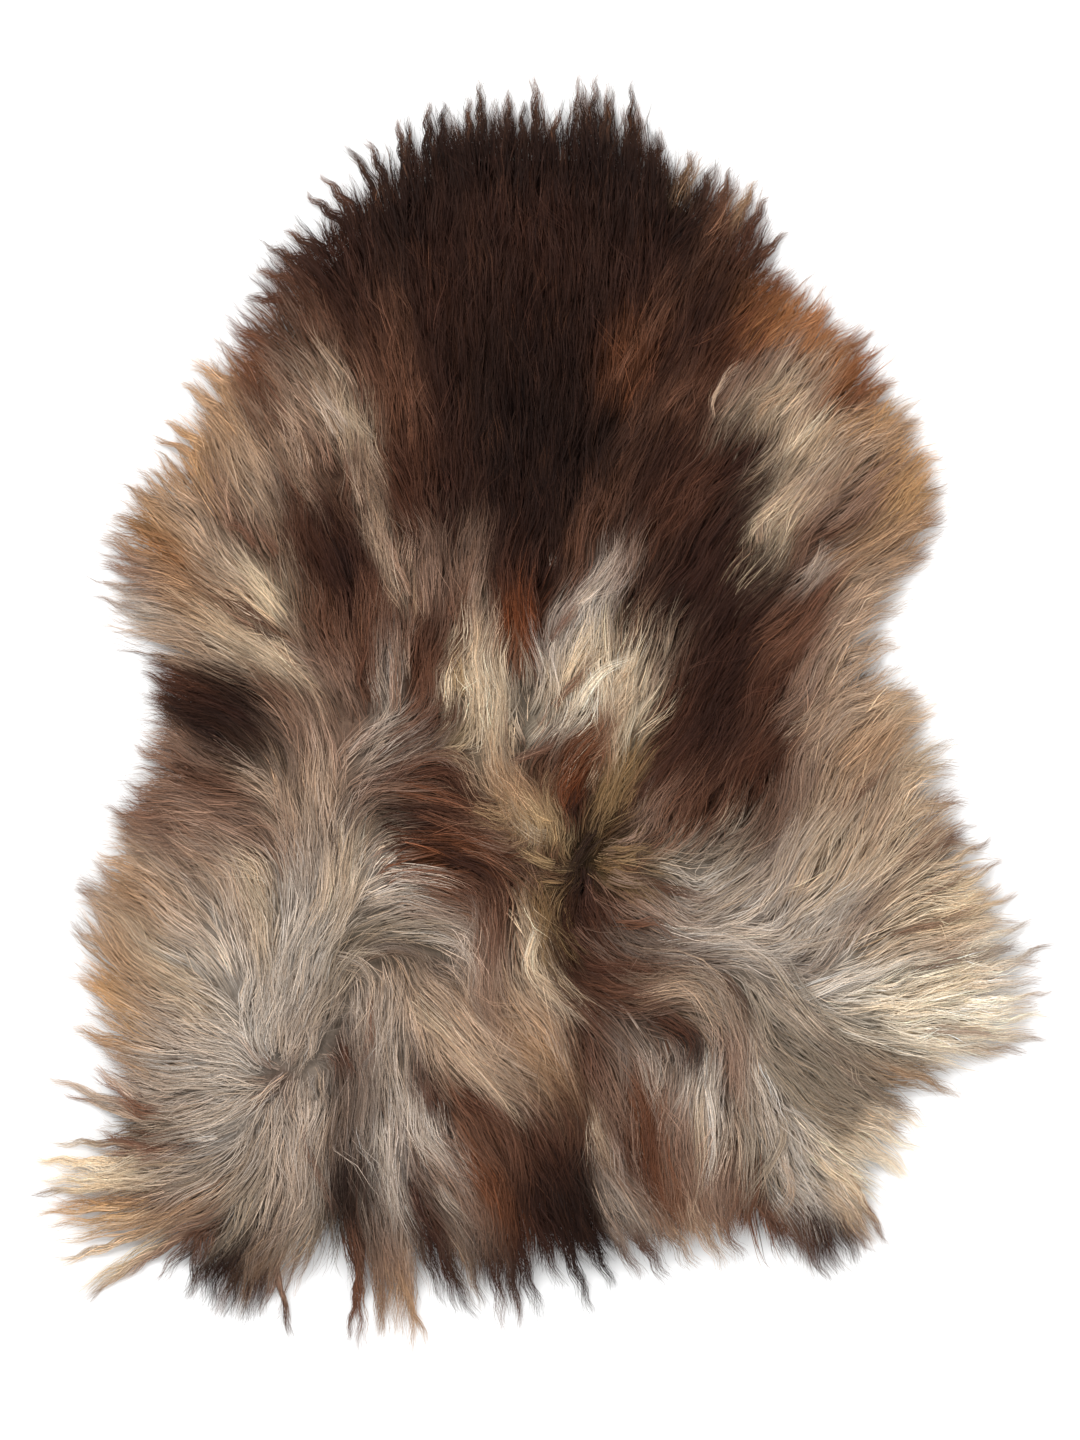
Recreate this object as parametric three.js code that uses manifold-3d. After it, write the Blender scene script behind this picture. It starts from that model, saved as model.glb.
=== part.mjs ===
// An Icelandic sheepskin lying flat on the floor with its wool up.
// Millimetres. +Z is up, +Y runs to the neck, +X to the right flank as seen from above.
// The origin is on the floor, in the middle of the skin's length and width.
//
// A sheepskin is one piece: the wool grows from the skin, and nothing is sewn or fitted to it.
// So this is one solid. Its flat base is the tanned skin and the wool that lies out over the
// floor round it. Its top is the fleece: a low dome with rolls, partings and hollows, steep at
// the edge, with the long locks of neck, flanks and rump lying outwards from it.

import * as THREE from "three";
import { mergeVertices } from "three/addons/utils/BufferGeometryUtils.js";
import Module from "manifold-3d";

// Driving dimensions
const LENGTH = 1100; // from the tips of the neck locks to the tips of the rump locks
const WIDTH = 865; // from the widest lock of the left flank to that of the right flank
const LOFT = 52; // height of the fleece over the middle of the skin, apart from its rolls
const EDGE_HEIGHT = 7; // height of the dense fleece at its edge
const EDGE_RISE = 120; // distance in from the edge at which the fleece reaches its full height
const LOCK_ROOT_HEIGHT = 16; // a lock's height where it leaves the dense fleece
const LOCK_TIP_HEIGHT = 2.5; // a lock's height at its tip
const LOCK_TIP_SHARE = 0.12; // a lock's width at its tip, as a share of its width at the root
const LOCK_TAPER = 1.6; // above 1, a lock stays broad at first and narrows late

// Places and lengths in the tables are in centimetres.
const CM = 10;

// The dense fleece, one row for each section across the skin, from the neck to the rump.
// along: the section's place, left and right: how far the wool reaches on each flank.
const SECTIONS = [
  { along: 50.6, left: -7.0, right: 5.0 },
  { along: 48.5, left: -11.0, right: 9.0 },
  { along: 45.0, left: -16.0, right: 14.5 },
  { along: 41.0, left: -20.5, right: 19.0 },
  { along: 37.0, left: -23.0, right: 20.5 },
  { along: 33.0, left: -25.2, right: 25.6 },
  { along: 28.0, left: -29.4, right: 29.0 },
  { along: 23.0, left: -31.0, right: 31.8 },
  { along: 18.0, left: -35.0, right: 33.6 },
  { along: 14.0, left: -36.4, right: 32.6 },
  { along: 10.0, left: -35.4, right: 30.0 },
  { along: 6.0, left: -33.4, right: 28.6 },
  { along: 1.0, left: -32.6, right: 31.6 },
  { along: -5.0, left: -34.4, right: 34.2 },
  { along: -11.0, left: -36.6, right: 36.4 },
  { along: -16.0, left: -38.8, right: 38.6 },
  { along: -21.0, left: -38.8, right: 40.4 },
  { along: -26.0, left: -37.8, right: 40.6 },
  { along: -29.5, left: -36.6, right: 36.6 },
  { along: -33.0, left: -36.0, right: 30.4 },
  { along: -37.0, left: -38.2, right: 29.4 },
  { along: -41.0, left: -39.4, right: 28.2 },
  { along: -44.5, left: -34.0, right: 24.0 },
  { along: -46.5, left: -27.0, right: 14.0 },
  { along: -48.0, left: -13.0, right: 1.0 },
];

// The rolls, partings and hollows of the fleece, each a smooth mound or dip.
// x, y: its middle, long and wide: its reach each way, turn: degrees from +X to its long axis,
// rise: its height in millimetres, below zero for a dip.
const RELIEF = [
  { what: "parting down the back", x: 2.2, y: -15.0, long: 6.5, wide: 1.9, turn: 84, rise: -15 },
  { what: "parting, left branch", x: -6.0, y: -12.0, long: 5.5, wide: 1.6, turn: -22, rise: -9 },
  { what: "parting, right branch", x: 5.0, y: -10.0, long: 4.5, wide: 1.8, turn: 48, rise: -9 },
  { what: "lip beside the parting", x: -1.2, y: -18.5, long: 4.5, wide: 2.2, turn: 80, rise: 6 },
  { what: "roll behind the parting", x: 9.0, y: -20.5, long: 7.0, wide: 2.6, turn: -4, rise: 8 },
  { what: "roll turning to the rump", x: 17.0, y: -26.0, long: 6.0, wide: 2.6, turn: -72, rise: 8 },
  { what: "end of the roll", x: 16.5, y: -36.5, long: 6.0, wide: 2.8, turn: 84, rise: 6 },
  { what: "fold beside the roll", x: 22.5, y: -26.0, long: 7.5, wide: 1.8, turn: -52, rise: -8 },
  { what: "whorl of the left rump", x: -22.0, y: -30.2, long: 2.8, wide: 2.6, turn: 0, rise: -14 },
  { what: "hollow right of the whorl", x: -16.3, y: -29.0, long: 3.0, wide: 1.8, turn: 70, rise: -9 },
  { what: "roll above the whorl", x: -21.0, y: -17.0, long: 5.5, wide: 3.2, turn: 88, rise: 6 },
  { what: "crease of the roll", x: -20.5, y: -21.6, long: 4.5, wide: 1.3, turn: 10, rise: -6 },
  { what: "lock across the back", x: -12.0, y: -3.0, long: 6.5, wide: 1.8, turn: 24, rise: 6 },
  { what: "fold under that lock", x: -11.0, y: -8.0, long: 6.0, wide: 1.8, turn: 8, rise: -7 },
  { what: "crown of the back", x: -2.5, y: -4.0, long: 4.5, wide: 4.0, turn: 0, rise: 5 },
  { what: "hollow of the left flank", x: -27.0, y: 0.5, long: 4.2, wide: 3.6, turn: -30, rise: -9 },
  { what: "lock over the left flank", x: -25.0, y: 8.5, long: 4.5, wide: 1.4, turn: -34, rise: 5 },
  { what: "mound of the left shoulder", x: -32.0, y: 15.0, long: 5.0, wide: 3.6, turn: 62, rise: 5 },
  { what: "hollow of the right flank", x: 15.0, y: 3.0, long: 9.0, wide: 3.2, turn: 84, rise: -8 },
  { what: "hollow of the right shoulder", x: 19.5, y: 12.5, long: 4.0, wide: 2.4, turn: 20, rise: -7 },
  { what: "mound of the right shoulder", x: 21.0, y: 21.5, long: 5.0, wide: 2.6, turn: 48, rise: 6 },
  { what: "hollow of the neck", x: 1.0, y: 27.0, long: 5.5, wide: 4.5, turn: 90, rise: -6 },
  { what: "left mound of the neck", x: -11.0, y: 33.0, long: 7.0, wide: 4.0, turn: 105, rise: 5 },
  { what: "right mound of the neck", x: 11.5, y: 33.0, long: 7.0, wide: 4.0, turn: 74, rise: 5 },
  { what: "hollow of the right rump", x: 12.6, y: -28.4, long: 2.6, wide: 1.8, turn: 80, rise: -10 },
  { what: "hollow of the left rump", x: -16.2, y: -41.5, long: 3.0, wide: 2.0, turn: 88, rise: -11 },
  { what: "hollow over the tail", x: 1.0, y: -39.5, long: 4.5, wide: 3.4, turn: -50, rise: -8 },
  { what: "drape of the tail", x: -8.5, y: -38.0, long: 7.5, wide: 3.0, turn: -56, rise: 5 },
];

// The long locks, one row each, round the skin from the neck towards the right flank.
// x, y: where the lock leaves the dense fleece, tipX, tipY: its tip, bow: how far it swings to
// its own left on the way, wide: its width at the root.
const LOCKS = [
  { x: -9.4, y: 47.5, tipX: -9.5, tipY: 52.4, bow: 0.3, wide: 4.0 },
  { x: -5.2, y: 48.5, tipX: -5.3, tipY: 54.6, bow: 0.0, wide: 4.6 },
  { x: -0.6, y: 48.5, tipX: -0.6, tipY: 54.9, bow: -0.2, wide: 3.2 },
  { x: 3.4, y: 48.5, tipX: 3.8, tipY: 55.0, bow: 0.1, wide: 5.0 },
  { x: 7.2, y: 47.5, tipX: 7.6, tipY: 54.3, bow: -0.2, wide: 4.0 },
  { x: 11.5, y: 44.5, tipX: 13.0, tipY: 48.3, bow: 0.2, wide: 4.0 },
  { x: 15.6, y: 42.0, tipX: 18.2, tipY: 46.0, bow: -0.3, wide: 4.0 },
  { x: 18.2, y: 38.5, tipX: 21.0, tipY: 41.2, bow: 0.2, wide: 3.6 },
  { x: 27.0, y: 29.0, tipX: 29.8, tipY: 31.4, bow: 0.2, wide: 4.5 },
  { x: 31.8, y: 19.5, tipX: 34.8, tipY: 21.5, bow: 0.2, wide: 5.0 },
  { x: 32.6, y: 15.0, tipX: 34.8, tipY: 16.8, bow: 0.2, wide: 4.5 },
  { x: 33.5, y: -6.0, tipX: 37.0, tipY: -7.2, bow: 0.2, wide: 5.0 },
  { x: 37.0, y: -14.0, tipX: 40.4, tipY: -14.6, bow: 0.4, wide: 4.5 },
  { x: 39.0, y: -19.0, tipX: 42.2, tipY: -18.0, bow: -0.3, wide: 4.5 },
  { x: 38.5, y: -22.5, tipX: 43.25, tipY: -20.8, bow: -0.4, wide: 5.0 },
  { x: 38.5, y: -26.0, tipX: 43.0, tipY: -25.0, bow: -0.5, wide: 6.0 },
  { x: 34.0, y: -28.6, tipX: 42.0, tipY: -28.6, bow: 0.3, wide: 4.0 },
  { x: 30.0, y: -30.5, tipX: 36.0, tipY: -32.8, bow: 0.7, wide: 4.0 },
  { x: 28.0, y: -35.5, tipX: 32.6, tipY: -37.5, bow: 0.4, wide: 6.0 },
  { x: 26.5, y: -41.0, tipX: 29.4, tipY: -45.6, bow: 0.3, wide: 5.0 },
  { x: 21.5, y: -42.5, tipX: 25.0, tipY: -48.6, bow: 0.3, wide: 6.5 },
  { x: 14.5, y: -43.5, tipX: 16.5, tipY: -47.4, bow: -0.3, wide: 5.0 },
  { x: 8.0, y: -44.5, tipX: 10.8, tipY: -48.6, bow: 0.2, wide: 6.0 },
  { x: 2.8, y: -45.5, tipX: 4.4, tipY: -51.5, bow: 0.3, wide: 5.0 },
  { x: -1.6, y: -45.8, tipX: 0.2, tipY: -52.2, bow: -0.2, wide: 4.6 },
  { x: -4.4, y: -45.8, tipX: -3.0, tipY: -52.8, bow: 0.2, wide: 5.0 },
  { x: -7.6, y: -45.6, tipX: -5.6, tipY: -52.0, bow: -0.5, wide: 5.0 },
  { x: -11.6, y: -45.2, tipX: -11.2, tipY: -54.9, bow: 0.4, wide: 6.5 },
  { x: -15.2, y: -44.4, tipX: -15.6, tipY: -55.0, bow: 0.2, wide: 3.2 },
  { x: -21.5, y: -44.5, tipX: -21.2, tipY: -53.6, bow: 0.8, wide: 6.5 },
  { x: -24.5, y: -44.0, tipX: -26.6, tipY: -52.0, bow: -0.4, wide: 8.5 },
  { x: -27.5, y: -43.0, tipX: -30.0, tipY: -50.0, bow: -0.4, wide: 7.0 },
  { x: -31.0, y: -42.5, tipX: -40.2, tipY: -49.6, bow: -0.4, wide: 5.0 },
  { x: -35.5, y: -42.0, tipX: -43.1, tipY: -44.6, bow: 0.3, wide: 4.6 },
  { x: -35.5, y: -39.0, tipX: -43.25, tipY: -39.3, bow: 0.3, wide: 5.6 },
  { x: -33.5, y: -36.2, tipX: -42.2, tipY: -36.6, bow: -0.3, wide: 2.6 },
  { x: -34.0, y: -33.8, tipX: -42.0, tipY: -30.6, bow: 0.4, wide: 3.0 },
  { x: -36.0, y: -28.5, tipX: -40.0, tipY: -27.0, bow: 0.3, wide: 5.0 },
  { x: -37.0, y: -20.5, tipX: -40.2, tipY: -17.2, bow: 0.6, wide: 5.5 },
  { x: -35.2, y: -12.5, tipX: -38.2, tipY: -11.6, bow: 0.3, wide: 5.0 },
  { x: -31.4, y: 2.0, tipX: -34.2, tipY: 3.6, bow: 0.2, wide: 4.5 },
  { x: -34.4, y: 13.4, tipX: -37.4, tipY: 15.6, bow: 0.2, wide: 4.5 },
  { x: -30.0, y: 22.5, tipX: -32.8, tipY: 24.2, bow: -0.5, wide: 3.5 },
  { x: -27.0, y: 28.0, tipX: -30.6, tipY: 29.2, bow: 0.2, wide: 4.0 },
  { x: -22.5, y: 35.4, tipX: -25.2, tipY: 36.2, bow: 0.4, wide: 3.6 },
  { x: -20.0, y: 38.6, tipX: -23.8, tipY: 39.0, bow: 0.3, wide: 3.6 },
  { x: -16.5, y: 42.2, tipX: -20.0, tipY: 44.8, bow: 0.3, wide: 4.4 },
  { x: -14.4, y: 44.0, tipX: -17.0, tipY: 48.7, bow: -0.8, wide: 3.8 },
  { x: -11.6, y: 46.0, tipX: -12.1, tipY: 50.6, bow: 0.3, wide: 3.4 },
];

// Fineness of the facets
const CUTS_ALONG = 62;
const CUTS_ACROSS = 42;
const LOCK_CUTS = 4;

// Everything is made to reach this far below the floor, and is then cut off flat at the floor.
const BELOW_FLOOR = 5;

const WOOL = new THREE.MeshStandardMaterial({ color: 0x6f5a48, roughness: 0.95, metalness: 0 });

const wasm = await Module();
wasm.setup();

function toSolid(geometry) {
  const bare = geometry.clone();
  bare.deleteAttribute("normal");
  bare.deleteAttribute("uv");
  const merged = mergeVertices(bare, 1e-4);
  return new wasm.Manifold(
    new wasm.Mesh({
      numProp: 3,
      vertProperties: new Float32Array(merged.attributes.position.array),
      triVerts: new Uint32Array(merged.index.array),
    }),
  );
}

function toGeometry(solid) {
  const mesh = solid.getMesh();
  const geometry = new THREE.BufferGeometry();
  geometry.setAttribute("position", new THREE.BufferAttribute(mesh.vertProperties, 3));
  geometry.setIndex(new THREE.BufferAttribute(mesh.triVerts, 1));
  return geometry;
}

// Joins rings of points, all with the same count, into a closed surface with a fan at each end.
// The rings follow each other along the piece, and each runs anticlockwise seen from its start.
function loft(rings) {
  const count = rings[0].length;
  const positions = rings.flat().flatMap((point) => [point.x, point.y, point.z]);
  const index = [];
  for (let r = 0; r + 1 < rings.length; r += 1) {
    for (let k = 0; k < count; k += 1) {
      const next = (k + 1) % count;
      const a = r * count + k;
      const b = r * count + next;
      const c = (r + 1) * count + next;
      const d = (r + 1) * count + k;
      index.push(a, c, b, a, d, c);
    }
  }
  const last = (rings.length - 1) * count;
  for (let k = 1; k + 1 < count; k += 1) {
    index.push(0, k, k + 1);
    index.push(last, last + k + 1, last + k);
  }
  const geometry = new THREE.BufferGeometry();
  geometry.setAttribute("position", new THREE.Float32BufferAttribute(positions, 3));
  geometry.setIndex(index);
  return geometry;
}

// A flank's edge as a smooth line through one column of the section table.
function flankEdge(column) {
  const points = SECTIONS.map((row) => new THREE.Vector3(row[column] * CM, row.along * CM, 0));
  return new THREE.CatmullRomCurve3(points, false, "centripetal").getSpacedPoints(CUTS_ALONG);
}

function distanceToLine(point, line) {
  let nearest = Infinity;
  const segment = new THREE.Line3();
  const foot = new THREE.Vector3();
  for (let k = 0; k + 1 < line.length; k += 1) {
    segment.set(line[k], line[k + 1]);
    segment.closestPointToPoint(point, true, foot);
    nearest = Math.min(nearest, foot.distanceTo(point));
  }
  return nearest;
}

// What the rolls, partings and hollows add to the height at one point.
function relief(point) {
  let total = 0;
  for (const row of RELIEF) {
    const turn = THREE.MathUtils.degToRad(row.turn);
    const dx = point.x / CM - row.x;
    const dy = point.y / CM - row.y;
    const along = (dx * Math.cos(turn) + dy * Math.sin(turn)) / row.long;
    const across = (dy * Math.cos(turn) - dx * Math.sin(turn)) / row.wide;
    total += row.rise * Math.exp(-(along * along + across * across));
  }
  return total;
}

// The height of the fleece: a steep shoulder at the edge that levels off at its full loft.
function fleeceHeight(point, edge) {
  const inward = Math.min(1, distanceToLine(point, edge) / EDGE_RISE);
  const shoulder = Math.sqrt(1 - (1 - inward) ** 2);
  const crest = LOFT - EDGE_HEIGHT;
  return EDGE_HEIGHT + shoulder * (crest + relief(point));
}

// The dense fleece: a ring for each cut across the skin, over the top and back underneath.
function denseFleece() {
  const left = flankEdge("left");
  const right = flankEdge("right");
  const edge = [...left, ...[...right].reverse(), left[0]];
  const rings = left.map((leftEnd, cut) => {
    const top = [];
    for (let k = 0; k <= CUTS_ACROSS; k += 1) {
      const point = new THREE.Vector3().lerpVectors(leftEnd, right[cut], k / CUTS_ACROSS);
      top.push(new THREE.Vector3(point.x, point.y, fleeceHeight(point, edge)));
    }
    const underRight = new THREE.Vector3(right[cut].x, right[cut].y, -BELOW_FLOOR);
    const underLeft = new THREE.Vector3(leftEnd.x, leftEnd.y, -BELOW_FLOOR);
    return [...top, underRight, underLeft];
  });
  return loft(rings);
}

// One long lock: a low, round-backed tongue that narrows and thins to its tip.
function longLock(row) {
  const root = new THREE.Vector3(row.x * CM, row.y * CM, 0);
  const tip = new THREE.Vector3(row.tipX * CM, row.tipY * CM, 0);
  const forward = new THREE.Vector3().subVectors(tip, root).normalize();
  const leftward = new THREE.Vector3(-forward.y, forward.x, 0);
  const middle = new THREE.Vector3().lerpVectors(root, tip, 0.5).addScaledVector(leftward, row.bow * CM);
  const line = new THREE.QuadraticBezierCurve3(root, middle, tip);
  const halfRoot = (row.wide * CM) / 2;
  const section = [
    { side: -1, up: 0.3 },
    { side: -0.6, up: 0.85 },
    { side: 0, up: 1 },
    { side: 0.6, up: 0.85 },
    { side: 1, up: 0.3 },
  ];
  const rings = [];
  for (let k = 0; k <= LOCK_CUTS; k += 1) {
    const t = k / LOCK_CUTS;
    const centre = line.getPoint(t);
    const heading = line.getTangent(t);
    const across = new THREE.Vector3(-heading.y, heading.x, 0);
    const half = halfRoot * THREE.MathUtils.lerp(1, LOCK_TIP_SHARE, t ** LOCK_TAPER);
    const height = THREE.MathUtils.lerp(LOCK_ROOT_HEIGHT, LOCK_TIP_HEIGHT, t);
    const over = section.map(({ side, up }) => {
      const point = centre.clone().addScaledVector(across, side * half);
      return point.setZ(up * height);
    });
    const under = [over[over.length - 1], over[0]].map((point) => point.clone().setZ(-BELOW_FLOOR));
    rings.push([...over, ...under]);
  }
  return loft(rings);
}

function cutAtFloor(solid) {
  const deep = 2 * BELOW_FLOOR;
  const floor = new THREE.BoxGeometry(2 * WIDTH, 2 * LENGTH, deep).translate(0, 0, -deep / 2);
  return solid.subtract(toSolid(floor));
}

// Brings the pelt to its stated length and width, with the origin in the middle.
function fitToSize(geometry) {
  geometry.computeBoundingBox();
  const size = geometry.boundingBox.getSize(new THREE.Vector3());
  const middle = geometry.boundingBox.getCenter(new THREE.Vector3());
  geometry.translate(-middle.x, -middle.y, 0);
  geometry.scale(WIDTH / size.x, LENGTH / size.y, 1);
  return geometry;
}

function sheepskin() {
  const fleece = LOCKS.reduce((solid, row) => solid.add(toSolid(longLock(row))), toSolid(denseFleece()));
  const mesh = new THREE.Mesh(fitToSize(toGeometry(cutAtFloor(fleece))), WOOL);
  mesh.name = "sheepskin";
  return mesh;
}

const part = new THREE.Group();
part.add(sheepskin());

export default part;
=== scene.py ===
"""An Icelandic sheepskin, lying flat on a pale floor with its wool up, seen from straight above.

Everything is in metres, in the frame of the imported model: +Z up, +Y to the neck, +X to the right flank.
Tables give places and lengths in centimetres and turns in degrees from +X, because a skin is read that way.
"""

from collections import namedtuple

import bpy
import numpy as np
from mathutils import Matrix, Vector
from mathutils.bvhtree import BVHTree


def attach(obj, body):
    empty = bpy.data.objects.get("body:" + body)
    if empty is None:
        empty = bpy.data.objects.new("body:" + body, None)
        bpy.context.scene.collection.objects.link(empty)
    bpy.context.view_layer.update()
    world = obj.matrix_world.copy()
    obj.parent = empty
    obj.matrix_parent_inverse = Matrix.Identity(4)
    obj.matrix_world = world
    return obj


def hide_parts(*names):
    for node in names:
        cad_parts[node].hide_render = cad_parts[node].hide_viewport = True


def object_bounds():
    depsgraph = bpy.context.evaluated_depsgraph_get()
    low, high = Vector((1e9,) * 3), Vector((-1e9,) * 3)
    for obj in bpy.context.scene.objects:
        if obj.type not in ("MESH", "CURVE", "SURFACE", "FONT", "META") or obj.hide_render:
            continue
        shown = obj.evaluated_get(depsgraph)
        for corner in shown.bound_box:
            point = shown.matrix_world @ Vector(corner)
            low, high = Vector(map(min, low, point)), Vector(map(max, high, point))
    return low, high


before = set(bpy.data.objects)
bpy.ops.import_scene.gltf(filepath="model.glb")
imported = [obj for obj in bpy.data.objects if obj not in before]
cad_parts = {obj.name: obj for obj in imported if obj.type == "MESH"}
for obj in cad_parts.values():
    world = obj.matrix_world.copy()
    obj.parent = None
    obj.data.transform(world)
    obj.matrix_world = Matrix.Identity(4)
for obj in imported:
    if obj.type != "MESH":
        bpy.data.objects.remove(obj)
box_low, box_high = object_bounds()


# Camera
# The picture is taken from straight above, with the neck at the top.
# The frame is 1224 mm high at the floor, which is the skin's length and a little floor round it.
PICTURE_HEIGHT = 1.224
PICTURE_MIDDLE = (-0.0009, -0.0051)
CAMERA_HEIGHT = 3.4
FILM_LENGTH = 36.0

camera_data = bpy.data.cameras.new("overhead_camera")
camera_data.sensor_width = FILM_LENGTH
camera_data.lens = FILM_LENGTH * CAMERA_HEIGHT / PICTURE_HEIGHT
camera = bpy.data.objects.new("overhead_camera", camera_data)
camera.location = (*PICTURE_MIDDLE, CAMERA_HEIGHT)
bpy.context.scene.collection.objects.link(camera)
bpy.context.scene.camera = camera


# Skin
# The tanned skin, one piece as it came off the animal: a sheet 2 mm thick that lies flat on the floor.
# Its edge is trimmed by hand with a knife, so it wavers, and it stops short of the wool all round.
CM = 0.01
SKIN_THICKNESS = 0.002
SKIN_LIFT = 0.0004
SKIN_ROWS = 62
SKIN_COLUMNS = 46
SPAN_STEPS = 12

# How far the skin reaches to either side, at places along it from the neck to the tail.
SkinSection = namedtuple("SkinSection", "along left right")
SKIN_SECTIONS = [SkinSection(*row) for row in [
    (47, -4, 3.5), (45.5, -9, 8), (42, -14, 13), (37, -18.5, 16.8), (32, -21, 21), (27, -24.8, 25),
    (21, -28, 28.4), (16, -31.5, 29.6), (11, -31, 26.8), (5, -29, 24.6), (-1, -29.2, 27), (-7, -30.8, 29.6),
    (-13, -33.2, 32.2), (-19, -34.4, 34.6), (-24, -34, 34.6), (-28, -32.4, 30.4), (-32, -32.2, 26.4),
    (-36, -33, 25.2), (-39.5, -31.4, 22), (-41.5, -24, 9),
]]


def smooth_line(points, steps, closed=False):
    """A Catmull-Rom line through the points, as an array of evenly spaced places."""
    p = np.array(points, float)
    before = p[-1:] if closed else 2 * p[:1] - p[1:2]
    after = p[:2] if closed else 2 * p[-1:] - p[-2:-1]
    q = np.vstack([before, p, after])
    t = np.linspace(0, 1, SPAN_STEPS, endpoint=False)[:, None]
    line = []
    for a, b, c, d in zip(q, q[1:], q[2:], q[3:]):
        line.append(b + 0.5 * t * (c - a + t * (2 * a - 5 * b + 4 * c - d + t * (3 * (b - c) + d - a))))
    line = np.vstack([*line, q[-2:-1]])
    along = np.r_[0, np.cumsum(np.linalg.norm(np.diff(line, axis=0), axis=1))]
    places = np.linspace(0, along[-1], steps, endpoint=not closed)
    return np.column_stack([np.interp(places, along, axis) for axis in line.T])


def skin_grid(rows, columns):
    """Places all over the skin as it lies, in rows from the neck to the tail that run from left to right."""
    left = smooth_line([(s.left * CM, s.along * CM) for s in SKIN_SECTIONS], rows)
    right = smooth_line([(s.right * CM, s.along * CM) for s in SKIN_SECTIONS], rows)
    across = np.linspace(0, 1, columns)[None, :, None]
    return left[:, None] * (1 - across) + right[:, None] * across


def shell(flat, top, base):
    """Vertices and faces of a closed sheet over a grid of places, between a top and a base height."""
    rows, columns = flat.shape[:2]
    number = np.arange(rows * columns).reshape(rows, columns)
    a, b, c, d = number[:-1, :-1], number[:-1, 1:], number[1:, 1:], number[1:, :-1]
    over = np.stack([d, c, b, a], -1).reshape(-1, 4)
    rim = np.concatenate([number[0, :-1], number[:-1, -1], number[-1, :0:-1], number[:0:-1, 0]])
    ahead = np.roll(rim, -1)
    below = rows * columns
    wall = np.stack([rim, ahead, ahead + below, rim + below], -1)
    vertices = [np.dstack([flat, np.broadcast_to(z, (rows, columns))]).reshape(-1, 3) for z in (top, base)]
    return np.vstack(vertices), [over, over[:, ::-1] + below, wall]


def mesh_object(name, vertices, faces, smooth=True):
    """A mesh object from an array of places and arrays of faces, each array with one count of corners."""
    mesh = bpy.data.meshes.new(name)
    mesh.vertices.add(len(vertices))
    mesh.vertices.foreach_set("co", np.asarray(vertices, np.float32).ravel())
    corners = np.concatenate([f.ravel() for f in faces])
    sizes = np.concatenate([np.full(len(f), f.shape[1]) for f in faces])
    mesh.loops.add(len(corners))
    mesh.loops.foreach_set("vertex_index", corners.astype(np.int32))
    mesh.polygons.add(len(sizes))
    mesh.polygons.foreach_set("loop_start", np.r_[0, np.cumsum(sizes)[:-1]].astype(np.int32))
    mesh.polygons.foreach_set("use_smooth", np.full(len(sizes), smooth))
    mesh.update(calc_edges=True)
    mesh.validate()
    piece = bpy.data.objects.new(name, mesh)
    bpy.context.scene.collection.objects.link(piece)
    return piece


skin_flat = skin_grid(SKIN_ROWS, SKIN_COLUMNS)
skin_edge = np.vstack([skin_flat[:, 0], skin_flat[::-1, -1]])
skin_vertices, skin_faces = shell(skin_flat, SKIN_LIFT + SKIN_THICKNESS, SKIN_LIFT)
skin = mesh_object("skin", skin_vertices, skin_faces, smooth=False)

# The flesh side is pale suede: darker and lighter patches about 10 cm across, and a nap of fine grain.
SUEDE_DARK = (196, 178, 148)
SUEDE_PALE = (229, 216, 192)
SUEDE_STOPS = (0.35, 0.68)
SUEDE_PATCHES = {"Scale": 9, "Detail": 5}
SUEDE_GRAIN = {"Scale": 420, "Detail": 3}
SUEDE_RELIEF = {"Strength": 0.35, "Distance": 0.0006}
SUEDE_FINISH = {"Roughness": 0.9, "Sheen Weight": 0.25}


def set_inputs(node, inputs):
    """Sets the sockets of a shader node by name."""
    for name, value in inputs.items():
        node.inputs[name].default_value = value


def new_material(name, finish):
    """A material with its Principled shader, set to a finish, and the two as a pair."""
    material = bpy.data.materials.new(name)
    material.use_nodes = True
    shader = material.node_tree.nodes["Principled BSDF"]
    set_inputs(shader, finish)
    return material, shader


def add_node(material, kind, inputs=(), **settings):
    """A new shader node in a material, with its settings and sockets."""
    node = material.node_tree.nodes.new(kind)
    for key, value in settings.items():
        setattr(node, key, value)
    set_inputs(node, dict(inputs))
    return node


def to_linear(tone):
    """A tone read off a screen, 0 to 255 a channel, as linear light."""
    c = np.array(tone, float) / 255
    return np.where(c <= 0.04045, c / 12.92, ((c + 0.055) / 1.055) ** 2.4)


def suede():
    """The matt flesh side: a pale nap with darker, faintly mottled patches and a fine grain."""
    material, shader = new_material("suede_skin_side", SUEDE_FINISH)
    links = material.node_tree.links
    place = add_node(material, "ShaderNodeTexCoord")
    patches = add_node(material, "ShaderNodeTexNoise", SUEDE_PATCHES)
    ramp = add_node(material, "ShaderNodeValToRGB")
    for stop, position, tone in zip(ramp.color_ramp.elements, SUEDE_STOPS, (SUEDE_DARK, SUEDE_PALE)):
        stop.position = position
        stop.color = (*to_linear(tone), 1)
    grain = add_node(material, "ShaderNodeTexNoise", SUEDE_GRAIN)
    relief = add_node(material, "ShaderNodeBump", SUEDE_RELIEF)
    links.new(place.outputs["Object"], patches.inputs["Vector"])
    links.new(place.outputs["Object"], grain.inputs["Vector"])
    links.new(patches.outputs["Fac"], ramp.inputs["Fac"])
    links.new(ramp.outputs["Color"], shader.inputs["Base Color"])
    links.new(grain.outputs["Fac"], relief.inputs["Height"])
    links.new(relief.outputs["Normal"], shader.inputs["Normal"])
    return material


skin.data.materials.append(suede())

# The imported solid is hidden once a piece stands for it, so its surface is kept here for reading later.
solid_tree = BVHTree.FromObject(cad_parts["sheepskin"], bpy.context.evaluated_depsgraph_get())


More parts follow.
